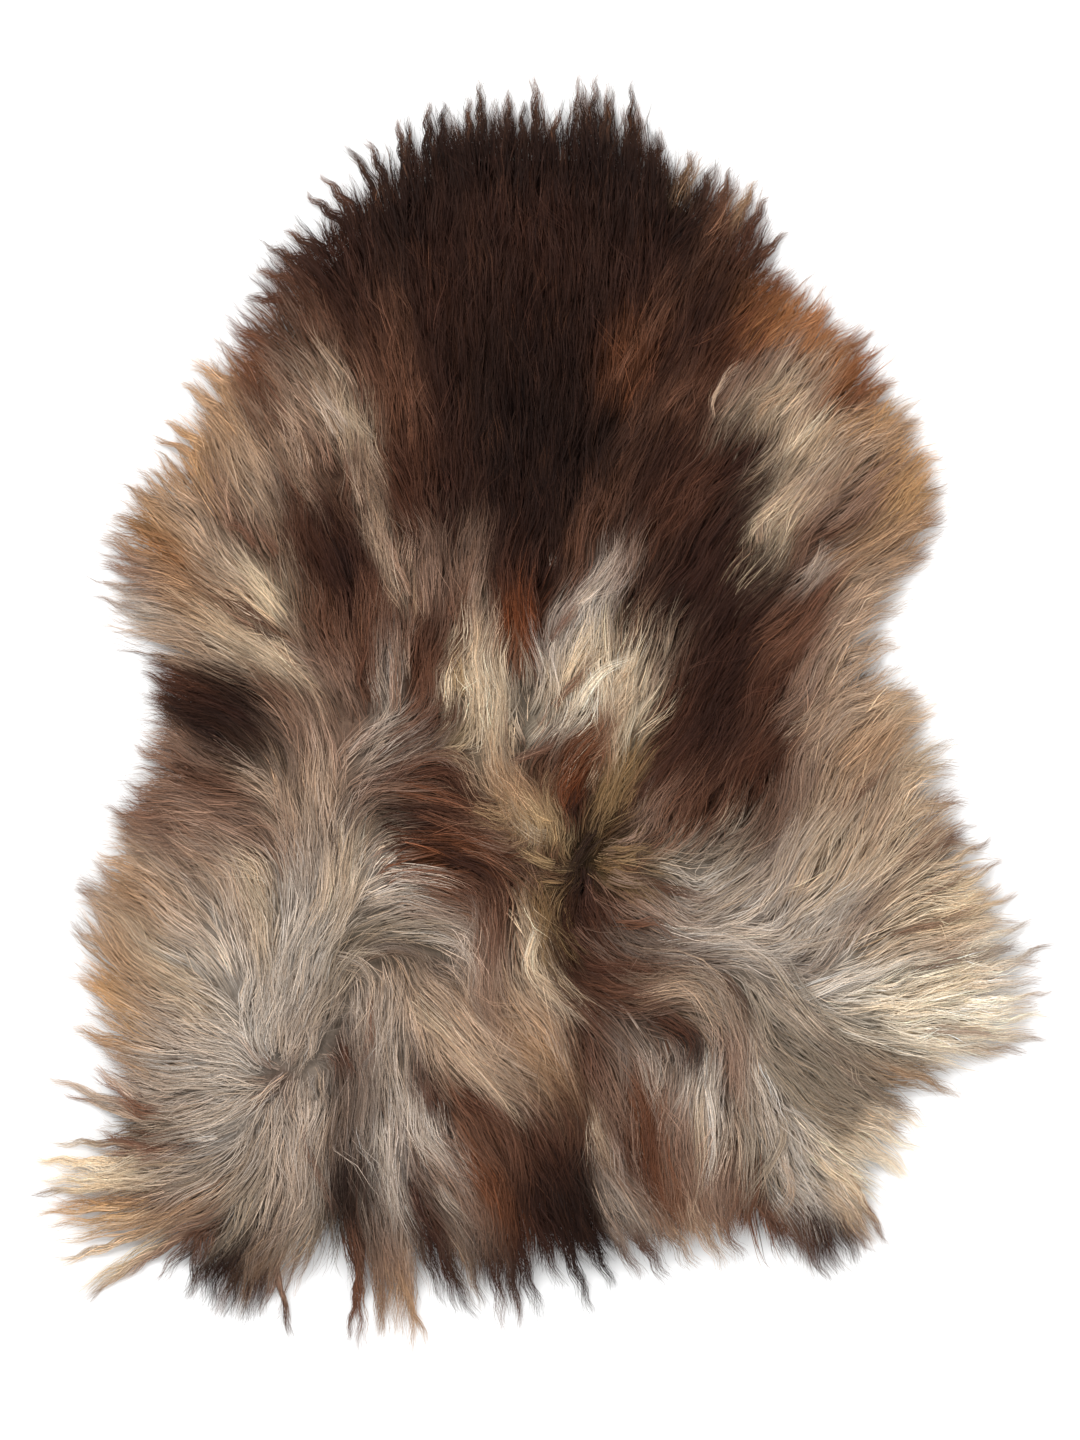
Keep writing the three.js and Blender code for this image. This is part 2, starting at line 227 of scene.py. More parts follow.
def part_of_pelt(piece):
    """Puts a piece on the pelt's one body, in the place of its one solid."""
    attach(piece, "root")
    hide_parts("sheepskin")


part_of_pelt(skin)


# Underwool
# The dense, soft coat next to the skin, which fills the fleece below the long outer wool.
# It grows all over the skin and is seen only as a dark depth between the locks, its tone darkened with
# painted shade.

# The edge of the dense wool, clockwise from the left of the neck.
WOOL_EDGE = [
    (-8.6, 49.6), (-5, 51.4), (-2, 50.8), (0.4, 49.6), (2, 51.2), (4.6, 52.4), (7.6, 51), (10.2, 47.8),
    (15, 45.2), (18.2, 42.8), (19.6, 39.4), (21.4, 36.6), (25, 33.8), (28.3, 30), (30.3, 26.5), (31.8, 23.5),
    (33.4, 20), (33.4, 16), (31.3, 12.3), (29, 8.5), (28.2, 5.5), (30, 3), (32, 0.5), (33.4, -3), (34.8, -7),
    (36.2, -11), (37.6, -14.5), (38.2, -17.5), (39, -21), (39.2, -24.5), (38.6, -27.2), (36, -28.8),
    (31, -30.2), (28, -33.4), (27.8, -37.2), (27.8, -40.5), (28.4, -43.8), (27.2, -46.6), (24.8, -48),
    (21.6, -46), (19, -43.8), (16, -43.4), (13.5, -43.8), (9, -44.8), (4, -46), (-1, -47), (-5, -48),
    (-8, -47.4), (-9.6, -46.4), (-11.5, -49.8), (-14.5, -49), (-15.9, -45.6), (-17.2, -43), (-20, -45.8),
    (-21.6, -48.8), (-25, -49.6), (-28.2, -48.2), (-30.2, -46.8), (-33, -44.8), (-36.4, -43.4),
    (-38.2, -41.4), (-37.8, -38.5), (-35.8, -36.3), (-34.6, -33.8), (-35.6, -30.6), (-37.2, -26),
    (-38.2, -21), (-38, -16.5), (-36.4, -12.5), (-35.2, -8.5), (-34.4, -5), (-33, -1.5), (-32.4, 2.5),
    (-33.6, 6), (-35.8, 9.5), (-36.6, 13), (-35.6, 17.3), (-32.6, 20.4), (-30.4, 23.4), (-28.5, 26.8),
    (-26.6, 30), (-25, 33.2), (-24, 36.6), (-21.8, 39.8), (-18, 42), (-14.6, 44.2), (-11, 47.2),
]
WOOL_EDGE_STEPS = 420
wool_edge = smooth_line(np.array(WOOL_EDGE) * CM, WOOL_EDGE_STEPS, closed=True)

# Heights, distances, tones and the lay are fields: values on a grid over the floor under the fleece.
GRID_CELL = 0.004
GRID_MARGIN = 0.06
LAST_CELL = 1.001
SOFTENING_ROUNDS = 3
grid_x = np.arange(box_low.x - GRID_MARGIN, box_high.x + GRID_MARGIN, GRID_CELL)
grid_y = np.arange(box_low.y - GRID_MARGIN, box_high.y + GRID_MARGIN, GRID_CELL)
floor_x, floor_y = np.meshgrid(grid_x, grid_y)


def read_grid(field, x, y):
    """The value of a field at places between the grid's points."""
    u = np.clip((x - grid_x[0]) / GRID_CELL, 0, len(grid_x) - LAST_CELL)
    v = np.clip((y - grid_y[0]) / GRID_CELL, 0, len(grid_y) - LAST_CELL)
    i, j = u.astype(int), v.astype(int)
    fu, fv = u - i, v - j
    if field.ndim == 3:
        fu, fv = fu[..., None], fv[..., None]
    low = field[j, i] * (1 - fu) + field[j, i + 1] * fu
    high = field[j + 1, i] * (1 - fu) + field[j + 1, i + 1] * fu
    return low * (1 - fv) + high * fv


def soften(field, reach):
    """The field averaged over about that reach, in metres."""
    cells = max(1, round(reach / GRID_CELL))
    width = 2 * cells + 1
    for axis in (0, 1):
        for _ in range(SOFTENING_ROUNDS):
            margins = [(cells, cells) if k == axis else (0, 0) for k in (0, 1)]
            total = np.cumsum(np.pad(field, margins, mode="edge"), axis=axis)
            total = np.insert(total, 0, 0, axis=axis)
            ahead = np.take(total, range(width, total.shape[axis]), axis=axis)
            behind = np.take(total, range(0, total.shape[axis] - width), axis=axis)
            field = (ahead - behind) / width
    return field


def distance_outside(edge):
    """How far each grid point lies outside a closed edge, below zero inside."""
    px, py = floor_x.ravel(), floor_y.ravel()
    nearest = np.full(len(px), np.inf)
    inside = np.zeros(len(px), bool)
    for (ax, ay), (bx, by) in zip(edge, np.roll(edge, -1, axis=0)):
        dx, dy = bx - ax, by - ay
        share = np.clip(((px - ax) * dx + (py - ay) * dy) / (dx * dx + dy * dy + 1e-12), 0, 1)
        nearest = np.minimum(nearest, (px - ax - share * dx) ** 2 + (py - ay - share * dy) ** 2)
        if ay != by:
            inside ^= ((ay > py) != (by > py)) & (px < ax + (py - ay) / (by - ay) * dx)
    return (np.sqrt(nearest) * np.where(inside, -1, 1)).reshape(floor_x.shape)


past_wool = distance_outside(wool_edge)
past_skin = distance_outside(skin_edge)

# The fleece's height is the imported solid's own top, read by looking straight down on it, and softened.
LOOK_FROM = 1.0
FLEECE_SOFTNESS = 0.006


def look_down(x, y):
    hit = solid_tree.ray_cast(Vector((x, y, LOOK_FROM)), Vector((0, 0, -1)))[0]
    return hit.z if hit else 0.0


solid_top = np.array([[look_down(x, y) for x in grid_x] for y in grid_y])
fleece_height = soften(solid_top, FLEECE_SOFTNESS)

# Tones of the wool as they look in soft light, 0 to 255 a channel.
TONES = {
    "peat": (29, 18, 15), "bog": (47, 29, 23), "loam": (46, 28, 17), "olive": (128, 103, 72),
    "amber": (136, 106, 76), "umber": (70, 44, 33), "walnut": (95, 65, 50), "chestnut": (100, 61, 40),
    "russet": (97, 53, 30), "ginger": (148, 101, 65), "gold": (176, 139, 99), "straw": (160, 136, 102),
    "tan": (156, 126, 98), "fawn": (163, 140, 119), "beige": (178, 158, 134), "cream": (206, 186, 158),
    # silver and taupe are a little paler than the grey wool itself: partly its own tone, partly a painted
    # sheen of soft highlights along glossy hair.
    "ivory": (224, 211, 191), "pearl": (196, 184, 170), "silver": (180, 168, 155), "taupe": (164, 148, 133),
    "stone": (137, 124, 108), "slate": (106, 91, 80), "mushroom": (130, 105, 89),
}

# The skin's natural markings, each a soft streak of its tone. long and wide are its reach each way.
Marking = namedtuple("Marking", "x y long wide turn")
MARKINGS = {
    "peat": [
        (-4, 48, 7, 3, 0), (5, 47, 6, 3.6, 0), (-12, 42, 6, 3, 20), (10, 43, 5, 3.5, -30), (0, 30, 8, 5, 90),
        (0, 22, 7, 5, 90), (-27, 0.4, 3.8, 3, -20), (-27.2, -48.2, 3.4, 1.8, 215),
        (-16.2, -41.4, 3.8, 2, -88), (2, -40.4, 4, 2.3, -60), (4.4, -45.4, 4.6, 1.7, -58),
        (12.8, -28.6, 1.8, 0.9, -100), (9.8, 8.2, 3.6, 2, 62), (-5.4, -12.8, 3.4, 0.9, -30),
        (2.8, -15.2, 4.4, 1.3, 84),
    ],
    "bog": [
        (-2, 42.8, 6, 1.8, 0), (0, 37.5, 6, 4, 90), (-8, 36.5, 5, 2.4, 100), (9, 38, 5, 3, 70),
        (16, 37, 4, 2, 60), (-17, 41, 4, 2.4, 130), (-20.3, 37.4, 3.4, 2, 145), (-16, 34, 5, 2, 110),
        (12.4, 31.4, 4, 2.2, 60), (-8.8, 29, 6, 1.6, 99), (-17, 13.4, 5, 2.4, 112),
        (-24.4, -2.6, 3.6, 1.4, 150), (-25.2, -50.4, 2.8, 1.3, 240), (-28, -50.2, 2.8, 1.1, 225),
        (-7.6, -47.8, 4.6, 1.3, -62), (-4, -48.4, 3.4, 1.1, -75), (-1, -48.4, 3.6, 1.4, -70),
        (0.4, -43.4, 3, 1.6, -65), (24.8, -45, 3.6, 1.8, -30), (14.4, -2, 3.2, 1.7, 85),
        (14.6, 3.4, 4.6, 2, 88), (16.6, 8.4, 3.6, 1.6, 88), (19.6, 11.6, 2.8, 1.2, 10),
        (15.6, 14.4, 4, 2.2, 80), (18, 21.4, 2.4, 1.3, 50), (18.4, 19, 2.8, 1, 42), (16.6, 22.4, 3, 1.3, 60),
        (-7, 19, 4.6, 2, 92), (-1.4, 14.4, 4, 2.2, 90), (9, 21, 4, 2, 55), (12.4, 10, 3.6, 1.8, 70),
        (2.8, -7.8, 1.6, 1, 80), (-10, -9, 2.6, 1.4, -10),
    ],
    "loam": [
        (2.2, -19, 1.6, 0.8, 90), (5, -10.6, 2.6, 0.8, 50),
    ],
    "olive": [
        (6.4, -5.8, 2.4, 1, 60), (0.8, -12, 1.8, 0.8, -30), (0.2, -16, 2, 1, 90), (7, -13, 2.6, 1.3, -30),
    ],
    "amber": [
        (-33, 15.4, 3.8, 2, 145),
    ],
    "umber": [
        (18, 40, 3, 1.6, 60), (-22.8, 35.4, 3, 1.4, 165), (15, 30.6, 4, 1.3, 60), (-21.8, 31, 4, 2.2, 140),
        (-20, 31.2, 4, 1.6, 115), (-15.6, 20, 3, 1.4, 110), (-20.6, 16.4, 3.4, 1.5, 118),
        (-20.2, 8.6, 3, 1, 118), (-11.6, 19.4, 4, 1.2, 100), (-10.2, 21.6, 4, 1, 97),
        (-30.4, 2.6, 3, 1.3, 160), (-16.6, -29.4, 1.3, 0.6, -80), (-22.4, -52, 2, 0.8, -75),
        (-9.2, -32.2, 2.8, 0.9, -65), (-10.2, -41.4, 4.4, 1, -65), (0, -36, 3, 1.8, -60),
        (3, -33, 3, 1.5, -62), (4.2, -29.4, 3.4, 1.3, -65), (8.2, -37.4, 3.2, 1.1, -80),
        (9, -45, 3.2, 1, -55), (18, -5, 3.4, 2, 60), (18.4, -9.6, 3, 1.4, 50), (11.4, 1, 3, 1.4, 72),
        (19.4, 2, 2.6, 1.2, 70), (11, -5, 3, 1.3, 60), (-3, 11, 1.6, 1.2, 90), (9, 16, 3.4, 1.3, 40),
        (12.4, 18.6, 4, 2, 45), (-9, 7.4, 2.2, 1.1, 96), (-8.6, -0.8, 3.6, 0.8, 27), (-8.6, -3.6, 3, 0.7, 4),
        (-8.4, -4.6, 3, 0.9, -6), (-8, -7.4, 4.6, 1.2, -24), (-4.6, -15.4, 2.4, 0.8, -60),
        (4.8, -17, 2.8, 1.5, 0), (5.4, -21.4, 3, 1, -18), (3.6, -23.6, 2.6, 1, -45),
    ],
    "walnut": [
        (15.5, 42.4, 3.2, 1.2, 60), (-19.4, 34.6, 3, 1, 112), (9.4, 33.2, 3, 1.1, 58),
        (12, 27, 3.6, 1.4, 50), (-14.2, 28.6, 5, 1.6, 108), (-11.6, 29, 5, 1.4, 104),
        (-23.8, 26, 4, 1.2, 120), (-19, 21.6, 3, 1.4, 118), (-25.6, 15.6, 2.6, 0.8, 132),
        (-22.8, 12.6, 3, 0.8, 115), (-22, 2, 3, 1, 140), (-17.6, 7, 3.4, 1.2, 102), (-33, -8.6, 3, 1, 150),
        (-28, -6, 4.4, 1.2, 150), (-22, -30.7, 1.6, 1, 0), (-33, -36.6, 3, 0.8, 172),
        (-34, -40.8, 4.4, 0.4, 182), (-28.4, -43.6, 2.6, 0.9, 225), (-15.6, -48.6, 4, 0.7, -92),
        (-4.8, -33.6, 3.2, 0.9, -40), (-2.4, -36.4, 2.6, 1, -40), (11.2, -26.4, 2, 0.9, -50),
        (17.4, -42.6, 3, 1.1, -70), (20.8, -43, 3, 1.1, -50), (28.2, -44, 2, 0.7, -65),
        (34.2, -11, 1.8, 0.7, 20), (20.8, 7, 2.6, 1.2, 70), (13.4, -8, 3, 1.8, 55), (22.8, 9, 2.2, 1.3, 60),
        (21.8, 15.2, 1.8, 0.7, 100), (24.4, 14.9, 3.2, 1.2, 30), (-6.8, 7, 2.6, 0.8, 95),
        (3.4, 14, 2.8, 1.1, 70), (5.6, 18.2, 3.6, 1.1, 60), (8, 7.6, 2.8, 0.9, 58), (-10.4, 3.4, 3.4, 1, 86),
        (-13.4, 8.4, 2.8, 1.3, 100), (-14.8, 4.6, 3, 0.7, 96), (-9.4, -6.2, 3, 0.7, -10),
        (0.6, -3, 2.6, 0.9, 60), (-4, -16, 4, 1.4, -80), (0.2, -12.6, 2, 0.8, -20),
        (8.8, -15.4, 2.6, 0.8, 10), (9, -21.2, 3.4, 0.6, 0), (7, -24, 3, 0.9, -42),
    ],
    "chestnut": [
        (7.4, 30.4, 3.2, 1.8, 62), (-25, 31, 2.8, 1.1, 145), (-24.6, 28.4, 3.6, 1.1, 125),
        (-24.6, 8.1, 3.6, 0.5, 150), (-10.2, -12.2, 2.6, 1.3, -25), (-35.2, -32.2, 2.4, 0.9, 130),
        (-4, -40.8, 2.6, 1.1, -55), (11.4, -41, 2.4, 1, -80), (9, -32.6, 3, 0.8, -85),
        (17.6, 33.6, 3, 1.4, 58), (19.4, 36, 2, 0.9, 60), (2.2, 8.6, 2.2, 0.3, 55), (3.6, 4, 1.8, 0.3, 55),
        (4.4, -2.8, 3, 1.2, 56), (-5.8, -11, 2.8, 0.9, -35),
    ],
    "russet": [
        (26.8, 28, 3.4, 2, 55), (-1.5, 7, 2.6, 1.3, 90), (3.4, -4.6, 2.4, 1.1, 62),
    ],
    "ginger": [
        (-31.6, 13.6, 2.4, 0.9, 145), (21, 33.6, 4.4, 1.6, -30), (24.8, 31, 3.4, 1.5, -50),
        (27.4, 28.6, 3, 1.4, 55),
    ],
    "gold": [
        (-29.4, 21.6, 3, 1.2, 115), (-36.6, -24, 3.6, 1.3, 130), (-37, -41.8, 3.4, 0.8, 185),
        (31.8, 20.4, 3.2, 1.8, 60), (29.4, 26.4, 2.6, 1.1, 60),
    ],
    "straw": [
        (-6.2, -1.8, 1.6, 0.6, 20), (-0.4, -9.6, 2.6, 1.2, 150),
    ],
    "tan": [
        (12.8, 46.3, 2, 1, 60), (17.6, 44.2, 2, 1, 60), (-28, 28.4, 3.4, 1.6, 125),
        (-29.6, 25, 3.4, 1.4, 108), (-27, 24.4, 4, 1.2, 112), (-32.4, 18.4, 3, 1.4, 135),
        (-31, 11, 3.4, 1.4, 145), (-34.2, -14.8, 3.6, 1.4, 135), (-35, -20.4, 3.6, 1.6, 125),
        (-36, -28.4, 2.8, 1.1, 155), (-33.6, -43, 3, 1.1, 195), (-23.6, -46.7, 3, 0.5, 208),
        (-12.4, -51.6, 3, 1.6, -95), (0.4, -28.6, 3.4, 1.3, -60), (29.6, -30.2, 2.6, 0.8, -15),
        (38.6, -28.4, 3.4, 0.5, 0), (28, -2.4, 3.4, 2, 55), (28.6, 15, 3, 1.4, 40),
        (32.4, 16.2, 2.6, 1.1, 38), (29.4, 23.6, 2.6, 1.2, 55), (-2.4, -6.6, 3, 1.3, 130),
    ],
    "fawn": [
        (-18.6, 27.4, 5, 2, 118), (-21.2, 23.8, 4, 1.6, 120), (-24.6, 20.6, 4, 1.4, 122),
        (-29.4, 16, 3, 1.4, 128), (-27, 13, 3.6, 1.7, 125), (-30.6, 6.8, 3.4, 1.4, 150),
        (-14.2, 17.6, 4, 0.8, 112), (-12.2, 12, 2.6, 0.6, 110), (-28, -13.4, 3.6, 1.2, 128),
        (-22, -6.6, 3.6, 1.6, 125), (-18.6, -4.8, 3.6, 1.6, 105), (-37.6, -17.4, 3, 1.2, 122),
        (-30.4, -15.6, 4, 1.6, 125), (-10.4, -24, 4.4, 1.8, -58), (-6, -28.4, 5, 1.6, -45),
        (-6, -47.6, 2.6, 0.5, -75), (1, -25.4, 2.6, 1.1, -60), (13.2, -43.8, 2.4, 1.1, -50),
        (26.6, -42, 2.4, 0.9, -60), (11, -23.4, 3, 1.2, -20), (35.4, -18.6, 3, 1.1, 18),
        (27, -8, 3.6, 2.2, 60), (26.4, 3.4, 3.4, 1.8, 75), (24.4, -3, 3, 1.4, 60), (26.4, 8.4, 2.8, 1.5, 60),
        (28.6, 11.4, 2.6, 1.5, 48), (22.4, 19, 3.4, 1.1, 40), (26.4, 21.6, 2.8, 1.1, 48),
        (23, 28, 2.6, 1, 50), (-5, 6, 3.4, 0.8, 92), (-1.8, -24.4, 2.6, 1.1, -50),
    ],
    "beige": [
        (-16.4, 25.2, 3, 1.3, 115), (-25, 5.6, 3.4, 1.3, 140), (-22, 4.6, 3, 0.9, 135),
        (-16, -12.6, 3, 1.1, 60), (-31.6, -21.6, 4, 1.8, 132), (-23.6, -17, 4, 1, 98),
        (-38, -43.4, 3.6, 1.1, 195), (4.7, -35, 1.4, 0.6, -80), (27.4, -35.8, 2.8, 1.3, -30),
        (30.6, -18.6, 3.4, 1.1, 32), (31, -14.6, 3.6, 1.3, 35), (28.2, -12, 2.6, 1.5, 75),
        (24, -12, 3.6, 1.8, 60), (31.4, -8, 2.8, 1.6, 30), (32.6, -4, 2.6, 1.4, 12),
        (30.4, 0.4, 2.8, 1.4, 35), (20.6, 22, 2.8, 1, 50), (24, 23.6, 3.2, 1.1, 50),
        (19.8, 26.4, 3, 1.6, 42), (1.2, 3, 2.2, 0.7, 70), (-5.4, -1.4, 3, 1.1, 95),
        (-1, -20.4, 2.4, 0.9, -85), (0.6, -22.6, 2, 0.8, -58),
    ],
    "cream": [
        (-23.2, 10.4, 3.4, 1.7, 122), (-37.4, -39, 4, 1.2, 180), (-37, -47, 4.4, 1, 212),
        (25.6, -39, 2.8, 1.2, -70), (35, -22.4, 3.6, 1.2, 12), (36, -16.4, 3.4, 1.5, 18),
        (19.6, 15.4, 2.6, 1.5, 80), (-6.6, 3, 2.4, 0.7, 98), (-4.8, 1.4, 2.8, 1.2, 88), (5, 5, 3, 0.9, 42),
        (7.2, 3, 3, 1.3, 42), (7.6, -0.6, 2.8, 1.1, 50),
    ],
    "ivory": [
        (29.6, -38.2, 2.8, 1.6, -15), (30, -23.4, 3.8, 1.6, 18), (32, -25.6, 4.4, 1.5, 5),
        (36.4, -25.4, 4.4, 2.2, 5), (35, -28, 3, 0.9, 0), (38.4, -18.8, 3, 1.3, 16), (4, 1.6, 3.4, 1, 42),
    ],
    "pearl": [
        (25.6, -22.2, 4.4, 1.8, 30), (40, -21.4, 3, 1.6, 20),
    ],
    # The silver streaks over the left flank and rump are partly painted sheen: soft highlights along the
    # glossy grey hair.
    "silver": [
        (-34, 8.8, 2, 0.9, 150), (-27, -20, 5.4, 3.2, 120), (-20.4, -17.6, 3.4, 1.6, 90),
        (-20.4, -20.6, 3.2, 1.4, 60), (-13.6, -13.8, 3, 1.8, -70), (-24.8, -26, 3, 1.6, 100),
        (-28, -29.6, 4.4, 2.2, 175), (-27.4, -34.6, 4, 2, -135), (-12.8, -38.4, 4.4, 1.2, -75),
        (-9.2, -35.6, 3.6, 0.9, -58), (13.4, -32.4, 3, 1, -88), (22.4, -37.4, 3, 1.8, -70),
        (21, -39.4, 3, 1.4, -65), (16.6, -20, 3.4, 1, -25), (24, -17.6, 3.6, 1.5, 40),
        (19, -16.6, 3.6, 1.6, 48), (1.4, 6, 3, 0.9, 70), (4.2, 9.6, 3.6, 1, 60), (13, -15, 3, 1.2, 40),
    ],
    "taupe": [
        (-18.6, -11, 3.4, 1.3, 92), (-20.4, -26, 3, 1.5, 90), (-32, -26.4, 3.6, 1.7, 150),
        (-31.6, -32, 3.6, 1.6, 170), (-20, -34, 4.4, 1.6, -88), (-23.4, -36.6, 3.8, 1.6, -98),
        (-30.4, -38.8, 3.6, 1.6, 180), (-20.6, -40.6, 4, 1.6, -95), (-12.6, -26.6, 4.4, 1.8, -85),
        (7.6, -42, 3, 1.2, -55), (9.8, -30, 2.4, 0.7, -80), (18.6, -32.4, 3.6, 1.2, -72),
        (20.6, -24.2, 3.4, 0.9, -50), (20.6, -14, 3.8, 1.9, 60), (23.2, 12.6, 1.8, 0.9, 62),
        (-13, 2, 4, 0.9, 88), (-12.2, -3, 3, 1.2, 20), (-6.8, -18.4, 2.6, 1.1, -55),
    ],
    "stone": [
        (-14, -19, 4, 1.8, 20), (-33, -34.8, 2.6, 0.9, 160), (-25.4, -40.6, 3.4, 1.5, -110),
        (-19.6, -44.4, 2.6, 1, 215), (18.2, -36.4, 3.4, 1.6, -85), (24.2, -33, 3.4, 1.5, -42),
        (28, -31.8, 3, 0.9, -25), (26.8, -28.6, 4, 1.9, -22), (21.8, -29.4, 3.2, 1.4, -38),
        (18, -25, 3, 1, -60), (14.6, -24, 2.4, 0.9, -60), (24.4, -25.8, 3.6, 1.2, -10),
        (16.2, -12, 3.8, 1.6, 55), (-1.7, 1.2, 2.6, 1, 90), (11, -12.6, 3, 1.2, 40),
    ],
    "slate": [
        (-16.8, -8.4, 2, 0.9, 40), (-11.4, -20.6, 2.6, 0.9, -20), (-23, -44.6, 2.8, 1.2, -120),
        (-16.4, -35.6, 4.4, 1.2, -88), (-13.6, -43, 2, 1, -90), (-14.4, -32, 2.6, 1, -80),
        (-6.8, -43, 3.4, 0.9, -50), (6.8, -28, 2.6, 0.7, -65), (9, -26.6, 2.2, 1, -60),
        (20.2, -27.6, 2.6, 0.7, -45), (11.4, -19.4, 3.4, 1.1, -5), (22, -21, 2, 0.7, 30),
    ],
    "mushroom": [
        (-21, 27.6, 3.6, 0.8, 125), (-27.6, 19, 4, 1.2, 130), (-34.2, 12, 3, 1.4, 152),
        (-31.6, -2.6, 3, 1.3, 155), (-20.2, -1.6, 3, 1.2, 120), (-17.4, 2, 4, 1.4, 96),
        (-16.6, -2, 2.8, 1.2, 100), (-21, 6.4, 2.6, 0.8, 125), (-33, -6, 3.6, 1.4, 152),
        (-25, -8.8, 4, 1.3, 145), (-31, -11, 4, 1.4, 140), (-32, -40.4, 2.6, 0.9, 182),
        (-31.6, -44.6, 3.4, 1, 215), (-21.8, -48.4, 2.2, 0.9, 240), (-12.6, -47, 3.6, 1.3, -95),
        (-7, -39.6, 3.6, 1.2, -54), (6.2, -31.8, 2.8, 1, -65), (6, -36.6, 2.6, 1.1, -70),
        (12.2, -36.6, 3, 1.2, -85), (16.2, -28, 4.4, 1, -85), (15.8, -40.6, 3, 1.2, -110),
        (27.4, -16.4, 2.8, 0.9, 40), (34.6, -7, 2, 0.9, 10), (21.4, -6.4, 2.6, 1.1, 60),
        (22.4, 3.4, 3, 0.7, 70), (25.4, 17, 3.6, 0.9, 26), (27.8, 19.4, 3, 0.9, 38),
        (16.8, 28.4, 1.6, 0.5, 58), (20.4, 30.2, 3, 1.1, 52), (-6, 14, 2.6, 1.2, 92),
        (-9.4, 12, 2.8, 1, 100), (6.3, 12.2, 2.6, 0.8, 55), (9.8, 4.6, 2.6, 0.9, 45),
        (-12.6, -6, 2.6, 0.7, -8), (9.2, -8.4, 2.6, 1, 50), (-2.4, -11, 2.6, 0.8, -38),
        (-4, -21, 3, 1.2, -88), (-8, -16, 2.6, 0.9, 0), (9.4, -16.6, 2.6, 1.2, 0),
    ],
}
PLAIN_TONE = "fawn"
PLAIN_WEIGHT = 0.002
MARKING_EDGE = 1.5
MARKING_FALL = 0.8


def marked_wool():
    """The tone of the wool as a field: the markings at each place, weighed by how near their middles are."""
    weights = np.full(floor_x.shape, PLAIN_WEIGHT)
    tones = np.multiply.outer(weights, to_linear(TONES[PLAIN_TONE]))
    for tone, rows in MARKINGS.items():
        for m in [Marking(*row) for row in rows]:
            turn = np.radians(m.turn)
            dx, dy = floor_x / CM - m.x, floor_y / CM - m.y
            along = (dx * np.cos(turn) + dy * np.sin(turn)) / m.long
            aside = (dy * np.cos(turn) - dx * np.sin(turn)) / m.wide
            weight = np.exp(-MARKING_EDGE * (along**2 + aside**2) ** MARKING_FALL)
            tones += weight[..., None] * to_linear(TONES[tone])
            weights = weights + weight
    return tones / weights[..., None]


wool_tone = marked_wool()

UNDERWOOL_ROWS = 110
UNDERWOOL_COLUMNS = 80
UNDERWOOL_GAP = 0.0004
UNDERWOOL_LEAST = 0.001
UNDERWOOL_SHARE = 0.60
UNDERWOOL_SHOULDER = 0.03
UNDERWOOL_PAINTED_SHADE = 0.62
LUMP_HEIGHT = 0.0016


def lumps(x, y):
    """Crossed waves about 16 mm apart, each swayed by another, so that the lumps lie unevenly."""
    return LUMP_HEIGHT * np.sin(x * 410 + 1.3 * np.sin(y * 260)) * np.sin(y * 370 + 1.1 * np.sin(x * 300))


def underwool():
    """A closed, lumpy cushion of wool on the skin, below the long locks, rounded off towards its edge."""
    flat = skin_grid(UNDERWOOL_ROWS, UNDERWOOL_COLUMNS)
    x, y = flat[..., 0], flat[..., 1]
    inside = np.clip(-read_grid(past_skin, x, y) / UNDERWOOL_SHOULDER, 0, 1)
    base = SKIN_LIFT + SKIN_THICKNESS + UNDERWOOL_GAP
    depth = UNDERWOOL_SHARE * read_grid(fleece_height, x, y) - base + lumps(x, y)
    return shell(flat, base + UNDERWOOL_LEAST + depth * np.sqrt(inside), base)


WOOL_GLOSS = 0.08
CLOUD_FROM = 0.3
CLOUD_TO = 0.7
CLOUD_SPREAD = 0.18


def wool_material(name, roughness, shade, cloud_scale):
    """Wool: each fibre's own tone, broken up by a fine cloud so that no fibre is one flat colour."""
    material, shader = new_material(name, {"Roughness": roughness, "Specular IOR Level": WOOL_GLOSS})
    links = material.node_tree.links
    tone = add_node(material, "ShaderNodeAttribute", attribute_name="tone")
    place = add_node(material, "ShaderNodeTexCoord")
    cloud = add_node(material, "ShaderNodeTexNoise", {"Scale": cloud_scale, "Detail": 2})
    low, high = (1 - CLOUD_SPREAD) * shade, (1 + CLOUD_SPREAD) * shade
    limits = {"From Min": CLOUD_FROM, "From Max": CLOUD_TO, "To Min": low, "To Max": high}
    spread = add_node(material, "ShaderNodeMapRange", limits)
    mix = add_node(material, "ShaderNodeMix", {"Factor": 1}, data_type="RGBA", blend_type="MULTIPLY")
    links.new(place.outputs["Object"], cloud.inputs["Vector"])
    links.new(cloud.outputs["Fac"], spread.inputs["Value"])
    links.new(tone.outputs["Color"], mix.inputs["A"])
    links.new(spread.outputs["Result"], mix.inputs["B"])
    links.new(mix.outputs["Result"], shader.inputs["Base Color"])
    return material


def colour_vertices(piece, colours):
    layer = piece.data.color_attributes.new("tone", "FLOAT_COLOR", "POINT")
    full = np.ones((len(colours), 4), np.float32)
    full[:, :3] = colours
    layer.data.foreach_set("color", full.ravel())


under_vertices, under_faces = underwool()
under = mesh_object("underwool", under_vertices, under_faces)
# Painted shade: the underwool takes the markings' tone, darkened for the depth it lies in below the locks.
colour_vertices(under, read_grid(wool_tone, under_vertices[:, 0], under_vertices[:, 1]) * UNDERWOOL_PAINTED_SHADE)
under.data.materials.append(wool_material("underwool_felt", roughness=0.95, shade=1.0, cloud_scale=260))
part_of_pelt(under)


# Long wool
# The outer coat: long, glossy, wavy hair in locks that all lie one way, out from the back and the whorls.
# Each layer is thousands of fibres rooted in the skin, gathered in locks and combed along the lay.

